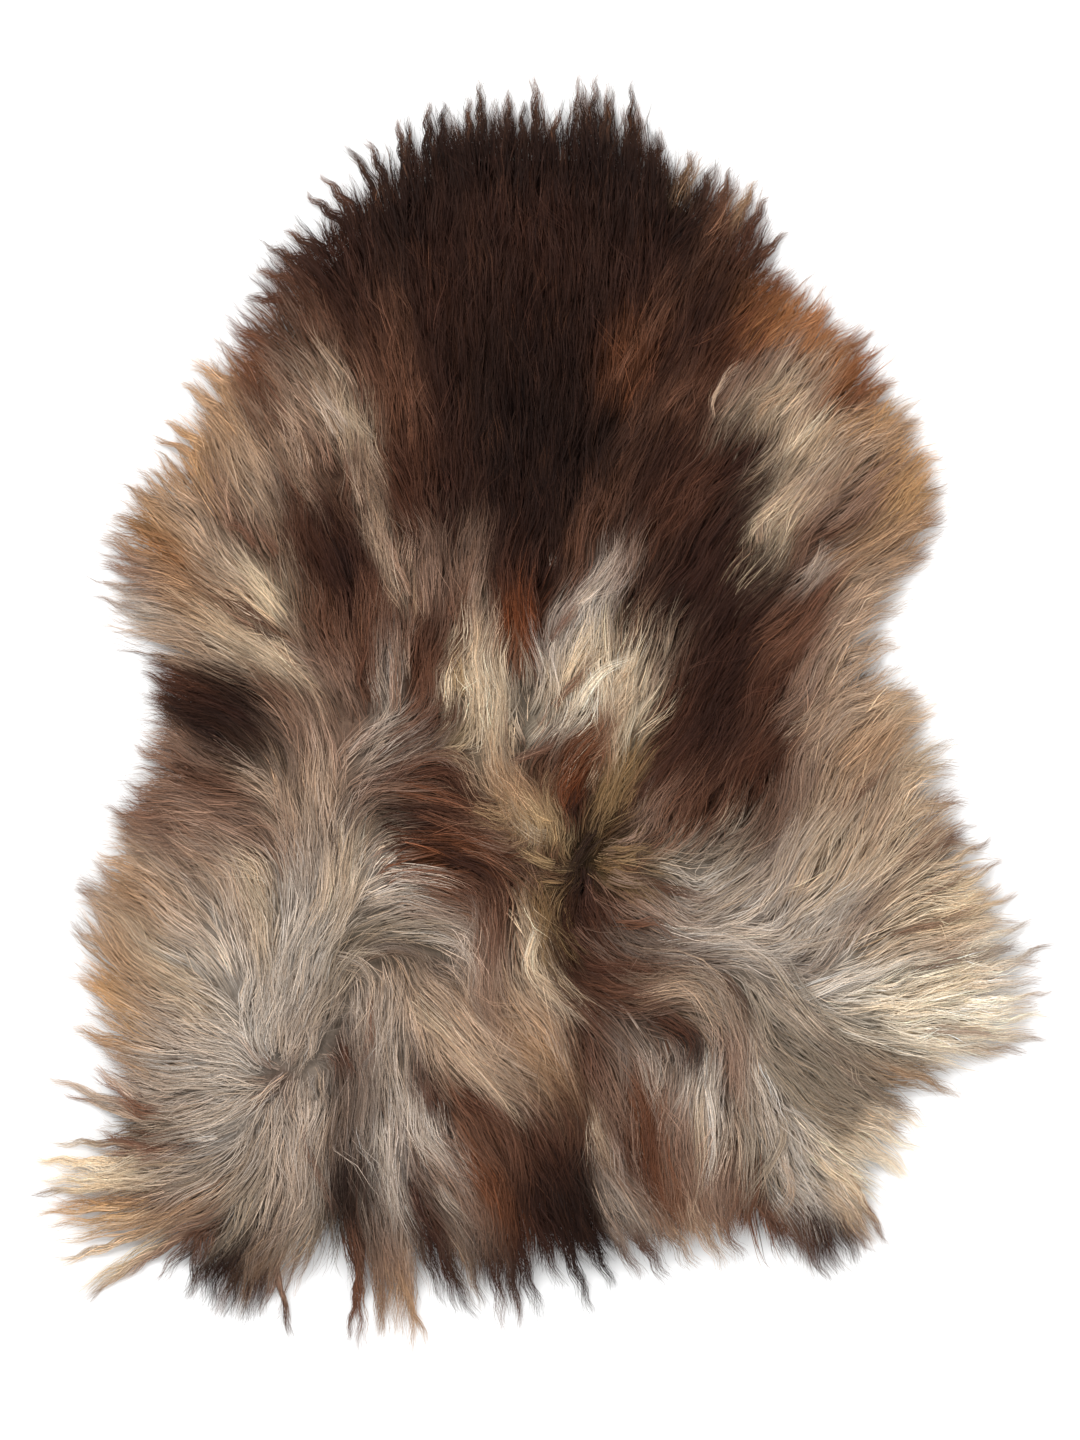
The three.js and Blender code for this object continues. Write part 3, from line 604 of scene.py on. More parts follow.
# The lay of the wool, as strokes of a comb from root to tip.
COMBED = [
    # neck
    [(-1, 20), (-1, 35), (-1, 53)], [(-5, 22), (-6, 38), (-7, 53)], [(4, 20), (6, 36), (7, 53)],
    [(-9, 20), (-12, 35), (-15, 48)], [(8, 22), (12, 34), (17, 45)], [(-13, 20), (-18, 32), (-25, 41)],
    [(11, 18), (17, 28), (24, 37)], [(-17, 22), (-22, 29), (-29, 35)], [(14, 15), (22, 26), (30, 34)],
    # left shoulder
    [(-20, 18), (-25, 26), (-30, 32)], [(-25, 18), (-28, 24), (-32, 28)], [(-26, 15), (-30, 21), (-34, 24)],
    [(-22, 12), (-26, 18), (-29, 22)], [(-24, 10), (-29, 15), (-36, 19.5)],
    [(-26, 10), (-31, 13), (-38, 16)], [(-27, 7), (-32, 10), (-38, 12.4)], [(-18, 3), (-20, 10), (-23, 17)],
    [(-15, 4), (-17, 12), (-20, 20)], [(-12, 4), (-13, 12), (-15, 20)], [(-9, 3), (-9, 12), (-10, 20)],
    [(-19, 3), (-23, 7.5), (-29, 9.9)],
    # left flank
    [(-18, 0), (-22, 4), (-27, 7), (-35, 10)], [(-20, -2), (-26, 1.5), (-34, 4)],
    [(-21, -5), (-27, -1), (-35, 1)], [(-22, -8), (-28, -4.5), (-36, -1.5)],
    [(-22, -10), (-28, -7.5), (-36.5, -5)], [(-23, -13), (-29, -10), (-37, -7)],
    [(-25, -17), (-30, -13), (-37, -9)], [(-26, -21), (-31, -16), (-38, -11.5)],
    [(-27, -24), (-33, -19), (-39, -13.5)], [(-28, -26), (-34, -22.5), (-40.5, -17)],
    [(-24, -29), (-31, -26), (-40, -21)], [(-22, -29.5), (-21.5, -20), (-20.5, -10), (-21, -4)],
    [(-23.5, -29), (-24.5, -20), (-26.5, -14)], [(-20.5, -29), (-18.5, -20), (-17, -12), (-15.5, -9)],
    [(-19, -10), (-19, -4), (-18, 2)],
    # left rump
    [(-24, -29.8), (-31, -28.5), (-40, -25)], [(-25, -30.3), (-32, -30.2), (-40, -28.5)],
    [(-24, -31.2), (-30, -33), (-36, -34.4), (-42, -33)], [(-33, -33.4), (-35, -31.8), (-38, -29.4)],
    [(-25, -34.5), (-31, -37.5), (-44, -38.5)], [(-25, -37), (-31, -40), (-44, -40.5)],
    [(-23, -33), (-26, -38), (-30, -42.5), (-43, -44.5)], [(-24, -39), (-28, -44.5), (-41, -49.6)],
    [(-22, -40), (-24, -45), (-30, -50.4)], [(-19, -42), (-22, -46), (-27.5, -51.5)],
    [(-19, -45), (-22, -49.4), (-21.4, -54)], [(-22, -31), (-23, -36), (-24, -42)],
    [(-20, -31), (-20.5, -38), (-21, -44)], [(-17, -30), (-17, -37), (-16.5, -46)],
    [(-14, -22), (-14.5, -32), (-15.5, -43), (-15.6, -55)],
    [(-12, -22), (-12.5, -32), (-12.5, -42), (-12, -55)],
    # tail
    [(-18, -19), (-14, -17), (-8, -16.5), (-4.5, -18.5), (-4, -24)],
    [(-12, -20.5), (-8, -24), (-3, -29), (1, -33)], [(-10, -24), (-6, -29), (-1, -34)],
    [(-11, -29), (-8, -35), (-3, -41)], [(-12, -33), (-10, -39), (-6, -45), (-4.5, -53)],
    [(-13, -38), (-11, -43), (-8, -51)], [(-1, -25), (3, -32), (6, -39), (10.5, -48)],
    [(0, -32), (2, -40), (5, -50)], [(-3, -33), (-1, -41), (1, -52)], [(-4, -39), (-3.5, -45), (-2.5, -53)],
    # right rump
    [(5, -25), (8, -31), (9.5, -38), (13.5, -47)], [(12, -31), (12.2, -38), (14.5, -47)],
    [(2, -19.5), (6, -21.2), (11, -20.3), (15, -21), (16.2, -26), (16, -34)],
    [(11, -18.5), (16, -18.8), (20, -22), (25, -27.5), (31, -30.3), (37, -32)],
    [(3, -22.5), (7, -23.5), (12, -23.2), (14.6, -26), (14, -33), (13.4, -40)],
    [(17.5, -27), (22, -31), (28, -33.5), (34, -34)], [(18, -30), (22, -34), (28, -37), (34, -38)],
    [(19, -33), (22, -38), (27, -43), (30.5, -47)], [(19, -36), (21, -41), (25, -48.5)],
    [(18, -32), (17.5, -38), (16, -44)],
    # right hip and flank
    [(22, -21.5), (29, -17.5), (36, -15.5), (41.5, -14)], [(24, -23), (31, -20), (37, -18.3), (43.5, -17)],
    [(25, -24.5), (32, -23), (38, -22), (44.5, -20.5)], [(26, -26), (33, -25.5), (39, -25), (44.5, -23.5)],
    [(27, -27.5), (34, -28), (43.5, -28.3)], [(20, -19), (27, -15), (34, -12.5), (40, -12)],
    [(27, -16), (31, -10.5), (35, -8), (39, -7.5)], [(24, -15), (28, -8), (32.5, -4), (37, -3)],
    [(18, -15), (21.5, -8), (25.5, -1), (31, 3)], [(22, -12), (25.5, -5), (29.5, 0), (35, 1.6)],
    [(21, -4), (25.5, 2.4), (32, 6)], [(20, 0), (25, 6), (32, 10)], [(14, -17), (19, -13), (24, -9)],
    [(19, -18), (21.4, -12), (24, -6)], [(23, -18), (25.6, -12), (28.4, -6.4)],
    [(27.4, -18), (29.6, -13.4), (32.4, -9.6)], [(22, -20.4), (25, -16), (28, -12.6)],
    [(4.4, -12), (6.6, -12.6), (8.8, -13.6), (10.6, -15.8)],
    # right shoulder
    [(18, 4), (25, 11), (34.5, 16.5)], [(15, 6), (22, 14), (30, 20.5), (36, 24)],
    [(12, 6), (17, 14), (24, 22), (32, 28)],
    # back
    [(1.8, -14), (-0.6, -10.6), (-3, -7), (-5, -2.6), (-5.5, 3)],
    [(2.4, -12), (0.9, -8.6), (0.8, -5), (1.5, -1), (3, 4)],
    [(3.6, -11), (4.2, -7.4), (5.2, -4), (7, 0), (9, 4)], [(5.6, -9.4), (9, -4), (13, 3), (16, 9)],
    [(8, -12), (13, -6), (18, 1), (23, 9)], [(-6, -1), (-5.5, 4), (-5, 10), (-4.5, 18)],
    [(-2, -1), (-1.8, 6), (-1, 14)], [(1, 0), (3, 5), (5.5, 11), (8, 18)],
    [(4, 0), (8, 7), (12, 13), (18, 20)], [(-9, -1), (-8, 6), (-7, 14), (-7, 22)],
    [(-12, 0), (-12.5, 6), (-13, 14)],
    # parting
    [(-15, -4.8), (-11, -1.8), (-5.5, 0.3)], [(-15, -6), (-11, -3.2), (-7, -4), (-4.5, -6.8)],
    [(-15, -8), (-10, -6.5), (-5, -8.8), (0, -12)], [(-13, -10), (-8, -11), (-4, -14), (-3, -19)],
    [(-1.2, -14), (-1.4, -19), (0, -23), (3, -27)], [(3, -11), (2.6, -15), (2.5, -20)],
    [(5, -15), (8, -17.5), (12, -18)],
]
COMB_STEP = 0.8
COMB_REACH = 2.0
COMB_FAR_PULL = 1e-4


def combed_lay():
    """The lay as a field of headings: those of the strokes near each place, and faintly of the others."""
    lay_x = np.zeros(floor_x.shape)
    lay_y = np.zeros(floor_x.shape)
    for stroke in COMBED:
        span = sum(np.hypot(b[0] - a[0], b[1] - a[1]) for a, b in zip(stroke, stroke[1:]))
        line = smooth_line(stroke, max(3, int(span / COMB_STEP)))
        heading = np.gradient(line, axis=0)
        heading /= np.linalg.norm(heading, axis=1)[:, None]
        for (px, py), (hx, hy) in zip(line, heading):
            apart = ((floor_x / CM - px) ** 2 + (floor_y / CM - py) ** 2) / COMB_REACH**2
            weight = np.exp(-apart) + COMB_FAR_PULL / (1 + apart) ** 2
            lay_x += weight * hx
            lay_y += weight * hy
    return np.arctan2(lay_y, lay_x)


# Wool never lies quite true: tufts a few centimetres wide and finer curls turn a little off the lay,
# less at the neck, where the wool is short, and most about the parting.
TUFT_TURN = 0.13
CURL_TURN = 0.10
TUFT_REACH = 0.008
CURL_REACH = 0.004
CALM_FROM = 0.15
CALM_WITHIN = 0.15
NECK_CALM = 0.5
PARTING_Y = -0.05
PARTING_WIDTH = 0.13
PARTING_LENGTH = 0.15
PARTING_TURN = 1.6
turbulence = np.random.default_rng(31)
tufts = soften(turbulence.normal(size=floor_x.shape), TUFT_REACH)
curls = soften(turbulence.normal(size=floor_x.shape), CURL_REACH)
at_neck = np.clip((floor_y - CALM_FROM) / CALM_WITHIN, 0, 1)
at_parting = np.exp(-((floor_x / PARTING_WIDTH) ** 2) - ((floor_y - PARTING_Y) / PARTING_LENGTH) ** 2)
unrest = 1 - NECK_CALM * at_neck + PARTING_TURN * at_parting
lay_turn = combed_lay() + (TUFT_TURN * tufts / tufts.std() + CURL_TURN * curls / curls.std()) * unrest
lay = np.stack([np.cos(lay_turn), np.sin(lay_turn)], -1)

GUIDE_STEPS = 26
INERTIA = 0.55


def comb(roots, lengths, reaches):
    """Lays locks along the wool's lay from their roots, and stops each where it has passed the edge by its
    reach. Gives their paths, and the share of each path that the lock is kept to."""
    place = roots.copy()
    heading = read_grid(lay, place[:, 0], place[:, 1])
    path = [place.copy()]
    step = (lengths / GUIDE_STEPS)[:, None]
    going = np.ones(len(roots), bool)
    kept = np.full(len(roots), float(GUIDE_STEPS))
    for k in range(GUIDE_STEPS):
        ahead = read_grid(lay, place[:, 0], place[:, 1])
        heading = INERTIA * heading + (1 - INERTIA) * ahead
        heading /= np.linalg.norm(heading, axis=1)[:, None] + 1e-9
        place = place + heading * step
        path.append(place.copy())
        outside = read_grid(past_wool, place[:, 0], place[:, 1]) > reaches
        kept = np.where(going & outside, k + 0.5, kept)
        going &= ~outside
    return np.stack(path, 1), kept / GUIDE_STEPS


def along_path(path, share):
    """Places and headings at shares of the way along each path. share has a row for each path."""
    u = np.clip(share, 0, 1) * (path.shape[1] - 1)
    k = np.minimum(u.astype(int), path.shape[1] - 2)
    f = (u - k)[..., None]
    row = np.arange(len(path))[:, None]
    place = path[row, k] * (1 - f) + path[row, k + 1] * f
    before = path[row, np.maximum(k - 1, 0)]
    after = path[row, np.minimum(k + 2, path.shape[1] - 1)]
    heading = after - before
    heading /= np.linalg.norm(heading, axis=-1, keepdims=True) + 1e-9
    return place, heading


# Steps across and along the grid that together never repeat, and strew places evenly over it.
STREW_ACROSS = 0.7548776662
STREW_ALONG = 0.5698402910
STREW_TRIES = 40


def scatter(count, field, limit, start):
    """Evenly strewn places where a field is under a limit, from a number in the strewing order on."""
    k = np.arange(start, start + count * STREW_TRIES)
    x = grid_x[0] + (k * STREW_ACROSS % 1) * (grid_x[-1] - grid_x[0])
    y = grid_y[0] + (k * STREW_ALONG % 1) * (grid_y[-1] - grid_y[0])
    inside = read_grid(field, x, y) < limit
    return np.column_stack([x, y])[inside][:count]


# A layer's locks are kept as a dictionary of arrays, with one value a lock or one for them all:
# path and kept, the line that a lock follows and the share of it that it is kept to,
# length, wide and thick, its own size,
# share and rise, how high it lies in the fleece and how far along it has risen there,
# gather and splay, how its fibres draw together and fan out towards the tip,
# wave, wavelength and sway, the height and length of its waves and where in a wave it starts,
# width and ragged, how wide its fibres are and how far short of its tip they may end,
# shade and root_shade, how light it is and how light its root is beside its tip, darkened as painted shade,
# tipped and bleach_and_glow, how brown its tip is and how far it is weathered and lit with painted glow,
# and, for some, a tone of its own.
PLAIN_LOCK = {"kept": 1.0, "shade": 1.0, "ragged": 0.5, "rise": 0.25, "tipped": 0.0, "bleach_and_glow": 0.2}

# How the fibres of a lock are strewn. A pair is a spread for strands and one for single fibres.
STRAND_FIBRES = 5
ROOT_SPREAD = 0.16
ENDS_POWER = 1.5
STRAND_ACROSS = 0.9
FIBRE_ACROSS = 0.25
GATHER_POWER = 1.4
SPLAY_POWER = 1.8
WAVE_SPREAD = (0.7, 0.6)
SPLAY_SPREAD = (0.75, 0.75)

# How a fibre stands out of the skin and lies on the fleece, and the least heights above the floor.
RISE_SHARE = 0.88
RISE_POWER = 0.8
BULGE_SLOPE = 3
TIP_FLATNESS = 0.6
BOB = 0.3
BOB_PHASE = 1.7
BOB_LENGTH = 0.8
LEAST_PILE = 0.0012
LEAST_FIBRE = 0.0009
LEAST_RIBBON = 0.0006
RIBBON_ROLL = 1.1
CELL_MARGIN = 0.1

# How tones spread: locks and their strands carry a marking a little over, and further along the lay,
# and strands and single fibres each have their own lightness and warmth.
SLIP = (0.004, 0.002)
SLIDE = (0.010, 0.006)
OWN_TONE_SHARE = 0.35
OWN_TONE_AT = 0.7
NAMED_TONE_SHARE = 0.75
LIGHT_SPREAD = (0.12, 0.17)
WARMTH_SPREAD = (0.03, 0.02)
BLUE_LOST = 1.2
ODD_SHARE = 0.07
ODD_PALE = 1.28
ODD_DARK = 0.66
ROOT_SHADE_END = 0.4
DARKEST = 0.002
PALEST = 0.88

# Some locks end in brown, as the lamb's coat was, and every tip is a little paler and warmer:
# partly bleached by weather, partly a painted glow of the light that shines through thin hair.
# Between fibres light comes out a little warmer too, which deepens every tone.
TIP_TONE = to_linear((92, 60, 43))
TIP_FROM = 0.62
TIP_FADE = 0.25
BLEACH_AND_GLOW = np.array([0.130, 0.062, 0.034])
DEEPEN = np.array([1.0, 1.02, 1.025])


def ribbon_width(t):
    """How wide a fibre is along its length: fullest before its middle, and drawn to a point."""
    full = 0.6 + 0.4 * np.sin(np.pi * np.minimum(1, 0.15 + t))
    return full * np.clip(1.4 * (1 - t), 0, 1) ** 0.5


def ribbons(name, centre, side, along):
    """A mesh of thin ribbons, pointed at the tip. centre and side have a row for each ribbon and a place for
    each ring, which lies at its share along. Each ribbon has its own cell of the texture map."""
    total, rings = len(centre), len(along) - 1
    left = centre[:, :-1] + side[:, :-1]
    right = centre[:, :-1] - side[:, :-1]
    vertices = np.concatenate([np.stack([left, right], 2).reshape(total, -1, 3), centre[:, -1:]], 1)
    vertices[..., 2] = np.maximum(vertices[..., 2], LEAST_RIBBON)
    first = (np.arange(total) * (2 * rings + 1))[:, None, None]
    k = np.arange(rings - 1)
    quads = np.stack([2 * k, 2 * k + 1, 2 * k + 3, 2 * k + 2], -1)[None] + first
    tips = np.array([[2 * rings - 2, 2 * rings - 1, 2 * rings]])[None] + first
    faces = [quads.reshape(-1, 4), tips.reshape(-1, 3)]
    piece = mesh_object(name, vertices.reshape(-1, 3), faces)

    cells = int(np.ceil(np.sqrt(total)))
    cell = np.stack([np.arange(total) % cells, np.arange(total) // cells], -1)[:, None] / cells
    v = CELL_MARGIN + (1 - 2 * CELL_MARGIN) * along
    near = np.column_stack([np.full(rings, CELL_MARGIN), v[:-1]])
    far = np.column_stack([np.full(rings, 1 - CELL_MARGIN), v[:-1]])
    own = np.vstack([np.stack([near, far], 1).reshape(-1, 2), [[0.5, v[-1]]]])[None] / cells + cell
    corner = np.concatenate([f.ravel() for f in faces])
    layer = piece.data.uv_layers.new(name="OFBake")
    layer.data.foreach_set("uv", own.reshape(-1, 2)[corner].astype(np.float32).ravel())
    return piece


outer_wool = wool_material("outer_wool_hair", roughness=0.6, shade=1.25, cloud_scale=900)


def fibres(name, locks, per_lock, rings, seed, crowding=0.8):
    """Makes locks into one mesh of ribbons. Each fibre has that many rings, and a low crowding sets them
    closer together towards its tip."""
    draw = np.random.default_rng(seed)
    count = len(locks["path"])
    total = count * per_lock
    lock = np.repeat(np.arange(count), per_lock)
    strand = np.arange(total) // STRAND_FIBRES
    strands = strand[-1] + 1
    values = {key: value for key, value in {**PLAIN_LOCK, **locks}.items() if key not in ("path", "tone")}
    get = {key: np.broadcast_to(value, count)[lock, None] for key, value in values.items()}
    t = np.linspace(0, 1, rings + 1)[None, :] ** crowding

    def uneven(spread):
        """A random value for each fibre, partly its strand's and partly its own."""
        shared = draw.normal(0, spread[0], (strands, 1))[strand]
        return shared + draw.normal(0, spread[1], (total, 1))

    def astray(spread, axes):
        """A random shift for each fibre, partly its lock's and partly its strand's."""
        shared = draw.normal(0, spread[0], (count, 1, axes))[lock]
        return shared + draw.normal(0, spread[1], (strands, 1, axes))[strand]

    # Each fibre ends a little short of its lock's tip, and starts a little ahead of its root.
    reach = get["kept"] * (1 - get["ragged"] * draw.random((total, 1)) ** ENDS_POWER)
    start = ROOT_SPREAD * draw.random((total, 1))
    where = start + (reach - start) * t
    place, heading = along_path(locks["path"][lock], where)
    aside = np.stack([-heading[..., 1], heading[..., 0]], -1)

    # Fibres keep together in strands, lie side by side across the lock and draw together towards its tip.
    across = STRAND_ACROSS * draw.uniform(-1, 1, (strands, 1))[strand]
    across = np.clip(across + draw.normal(0, FIBRE_ACROSS, (total, 1)), -1, 1)
    phase = get["sway"] + uneven(WAVE_SPREAD)
    waves = 2 * np.pi * where * get["length"] / get["wavelength"]
    wave = get["wave"] * np.sin(phase + waves) * np.sqrt(t)
    splay = get["splay"] * uneven(SPLAY_SPREAD) * t**SPLAY_POWER
    shift = across * get["wide"] * (1 - get["gather"] * t**GATHER_POWER) + wave + splay
    place = place + aside * shift[..., None]

    # The wool rises out of the skin, lies on the fleece below it, and sinks to the floor past the edge.
    bulge = np.sqrt(1 - across**2) * draw.random((total, 1)) ** 0.5
    rise = RISE_SHARE * np.clip(where / get["rise"], 0, 1) ** RISE_POWER + (1 - RISE_SHARE) * where
    pile = read_grid(fleece_height, place[..., 0], place[..., 1])
    z = SKIN_THICKNESS + SKIN_LIFT + (pile * get["share"] - SKIN_THICKNESS) * rise
    z = np.maximum(z, LEAST_PILE)
    z += bulge * get["thick"] * np.minimum(1, BULGE_SLOPE * where) * (1 - TIP_FLATNESS * t)
    z += BOB * get["thick"] * np.sin(BOB_PHASE * phase + waves / BOB_LENGTH) * t
    z = np.maximum(z, LEAST_FIBRE)

    # A fibre is a thin ribbon, turned at random about its own line and pointed at the tip.
    roll = draw.uniform(-RIBBON_ROLL, RIBBON_ROLL, (total, 1, 1))
    upright = np.broadcast_to(np.sin(roll), z.shape + (1,))
    half = (get["width"] / 2 * ribbon_width(t))[..., None]
    side = np.concatenate([aside * np.cos(roll), upright], -1) * half
    piece = ribbons(name, np.dstack([place, z]), side, t[0])

    # Its tone is that of the marking here, streaked along the fibre, and browned, or bleached and lit with
    # painted glow, at the tip.
    spot = place + astray(SLIP, 2) + heading * astray(SLIDE, 1)
    here = read_grid(wool_tone, spot[..., 0], spot[..., 1])
    own = here[:, int(rings * OWN_TONE_AT)][:, None]
    tone = (1 - OWN_TONE_SHARE) * here + OWN_TONE_SHARE * own
    if "tone" in locks:
        tone = (1 - NAMED_TONE_SHARE) * tone + NAMED_TONE_SHARE * locks["tone"][lock][:, None]
    tipped = (get["tipped"] * np.clip((where / get["kept"] - TIP_FROM) / TIP_FADE, 0, 1))[..., None]
    tone = tone * (1 - tipped) + TIP_TONE * tipped
    # Painted glow: tips are made paler and warmer, partly for weathering and partly for light shining
    # through thin hair.
    bleached_and_glowing = get["bleach_and_glow"] * draw.random((strands, 1))[strand] ** 2
    tone = tone + (bleached_and_glowing * t**2)[..., None] * BLEACH_AND_GLOW * (1 - tone) ** 3

    # Strands and fibres are lighter or warmer than their neighbours or less so, and roots are painted
    # darker, as painted shade.
    light = get["shade"] * np.exp(uneven(LIGHT_SPREAD))
    odd = draw.random((total, 1))
    light = light * np.where(odd < ODD_SHARE, ODD_PALE, np.where(odd > 1 - ODD_SHARE, ODD_DARK, 1))
    warmth = uneven(WARMTH_SPREAD)
    tint = np.stack([1 + warmth, np.ones((total, 1)), 1 - BLUE_LOST * warmth], -1)
    # Painted shade: each fibre is darkened towards its root, where it lies deep in the fleece.
    depth = get["root_shade"] + (1 - get["root_shade"]) * np.clip(where / ROOT_SHADE_END, 0, 1)
    tone = np.clip(tone**DEEPEN * (light * depth)[..., None] * tint, DARKEST, PALEST)
    colours = np.concatenate([np.repeat(tone[:, :-1], 2, axis=1), tone[:, -1:]], 1)
    colour_vertices(piece, colours.reshape(-1, 3))
    piece.data.materials.append(outer_wool)
    part_of_pelt(piece)
    return piece


# Wool is short and dense at the neck and longest over the rump.
NECK_LENGTH = 0.62
RUMP_LENGTH = 1.17
NECK_END = 0.5
BACK_LENGTH = 0.95
OPEN_REACH = (-0.008, 0.012)


def length_here(roots):
    """How long the wool is at its root, beside the length that a layer names."""
    back = np.clip((NECK_END - roots[:, 1]) / BACK_LENGTH, 0, 1)
    return NECK_LENGTH + (RUMP_LENGTH - NECK_LENGTH) * back


def turned(path, angles):
    """Each path turned about its own root."""
    out = path - path[:, :1]
    c, s = np.cos(angles)[:, None], np.sin(angles)[:, None]
    return path[:, :1] + np.stack([out[..., 0] * c - out[..., 1] * s, out[..., 0] * s + out[..., 1] * c], -1)


def fleece_locks(
    count, start, seed, length, wide, share, gather, wave, width, thick=0.004, rise=0.25, root_shade=0.5
):
    """Locks strewn all over the skin and combed along the lay."""
    draw = np.random.default_rng(seed)
    roots = scatter(count, past_skin, 0.0, start)
    n = len(roots)
    lengths = length * length_here(roots) * draw.uniform(0.8, 1.2, n)
    reaches = OPEN_REACH[0] + (OPEN_REACH[1] - OPEN_REACH[0]) * draw.random(n)
    path, kept = comb(roots, lengths, reaches)
    return {
        "path": turned(path, draw.normal(0, 0.07, n)),
        "kept": kept,
        "length": lengths,
        "wide": wide * draw.uniform(0.6, 1.5, n),
        "thick": thick * draw.uniform(0.5, 1.5, n),
        "share": share + draw.uniform(-0.06, 0.06, n),
        "gather": np.clip(gather + draw.uniform(-0.25, 0.3, n), 0, 0.95),
        "wave": wave * draw.uniform(0.2, 1.6, n) * length_here(roots),
        "wavelength": draw.uniform(0.04, 0.08, n),
        "sway": draw.uniform(0, 2 * np.pi, n),
        "splay": 0.0045 * draw.uniform(0.5, 1.5, n),
        "width": width * draw.uniform(0.85, 1.15, n),
        "shade": np.exp(draw.normal(0, 0.12, n)),
        "rise": rise,
        "root_shade": root_shade,
        "tipped": np.where(draw.random(n) < 0.10, 0.7, 0),
        "bleach_and_glow": 0.22,
    }


# Four layers from the skin outwards: each lies higher and waves more, and its fibres are longer and finer.
inner_locks = fleece_locks(
    count=1050, start=11, seed=1,
    length=0.060, wide=0.014, share=0.72, gather=0.1, wave=0.001, width=0.0014, rise=0.12, root_shade=0.7,
)
lower_locks = fleece_locks(
    count=720, start=20011, seed=2,
    length=0.090, wide=0.014, share=0.84, gather=0.2, wave=0.0018, width=0.0011,
)
middle_locks = fleece_locks(
    count=1200, start=40013, seed=3,
    length=0.098, wide=0.012, share=0.92, gather=0.22, wave=0.002, width=0.00062,
)
upper_locks = fleece_locks(
    count=1400, start=60017, seed=4,
    length=0.100, wide=0.011, share=0.98, gather=0.28, wave=0.0022, width=0.00048, thick=0.005,
)
inner = fibres("wool_inner", inner_locks, per_lock=14, rings=3, seed=21)
lower = fibres("wool_lower", lower_locks, per_lock=20, rings=4, seed=22)
middle = fibres("wool_middle", middle_locks, per_lock=20, rings=4, seed=23)
upper = fibres("wool_upper", upper_locks, per_lock=20, rings=4, seed=24)


# Whorls
# At the whorl on the left rump and at the head of the parting the wool lies outwards on every side.
# Short locks stand close there, which cover the bare middle that longer ones leave.
Whorl = namedtuple("Whorl", "x y spread locks")
WHORLS = [Whorl(*row) for row in [
    (-21.6, -30, 1.7, 130), (4.2, -9.6, 1.2, 30), (2.9, -11.4, 0.9, 30), (2.8, -14.6, 0.9, 20),
    (7, -12.8, 1.9, 60), (-8.6, -20.8, 1.4, 24), (0.2, -9.6, 1.7, 36),
]]
WHORL_STAND = 0.006
WHORL_REACH = 0.01
ANY_WAY = 0.9
OUTWARDS = 0.6


def whorl_locks(seed):
    """Short locks strewn about each whorl, which start out away from its middle and then follow the lay."""
    draw = np.random.default_rng(seed)
    spread = np.concatenate([draw.normal(0, w.spread, (w.locks, 2)) for w in WHORLS])
    middles = np.concatenate([np.full((w.locks, 2), (w.x, w.y)) for w in WHORLS])
    roots = (middles + spread) * CM
    n = len(roots)
    turn = draw.uniform(0, 2 * np.pi, n)
    out = np.column_stack([np.cos(turn), np.sin(turn)]) * ANY_WAY + OUTWARDS * spread
    out /= np.linalg.norm(out, axis=1)[:, None]
    lengths = draw.uniform(0.035, 0.07, n)
    path, kept = comb(roots + out * 2 * WHORL_STAND, lengths, np.full(n, WHORL_REACH))
    path = np.concatenate([roots[:, None], roots[:, None] + out[:, None] * WHORL_STAND, path[:, :-2]], 1)
    return {
        "path": path,
        "kept": kept,
        "length": lengths,
        "wide": draw.uniform(0.004, 0.010, n),
        "thick": 0.003,
        "share": draw.uniform(0.84, 0.98, n),
        "gather": draw.uniform(-0.4, 0.3, n),
        "wave": draw.uniform(0.0005, 0.0035, n),
        "wavelength": draw.uniform(0.02, 0.06, n),
        "sway": draw.uniform(0, 2 * np.pi, n),
        "splay": 0.006,
        "width": 0.00065,
        "shade": np.exp(draw.normal(-0.1, 0.12, n)),
        "rise": 0.03,
        "root_shade": 0.85,
    }


whorls = fibres("wool_whorls", whorl_locks(seed=9), per_lock=15, rings=4, seed=29)


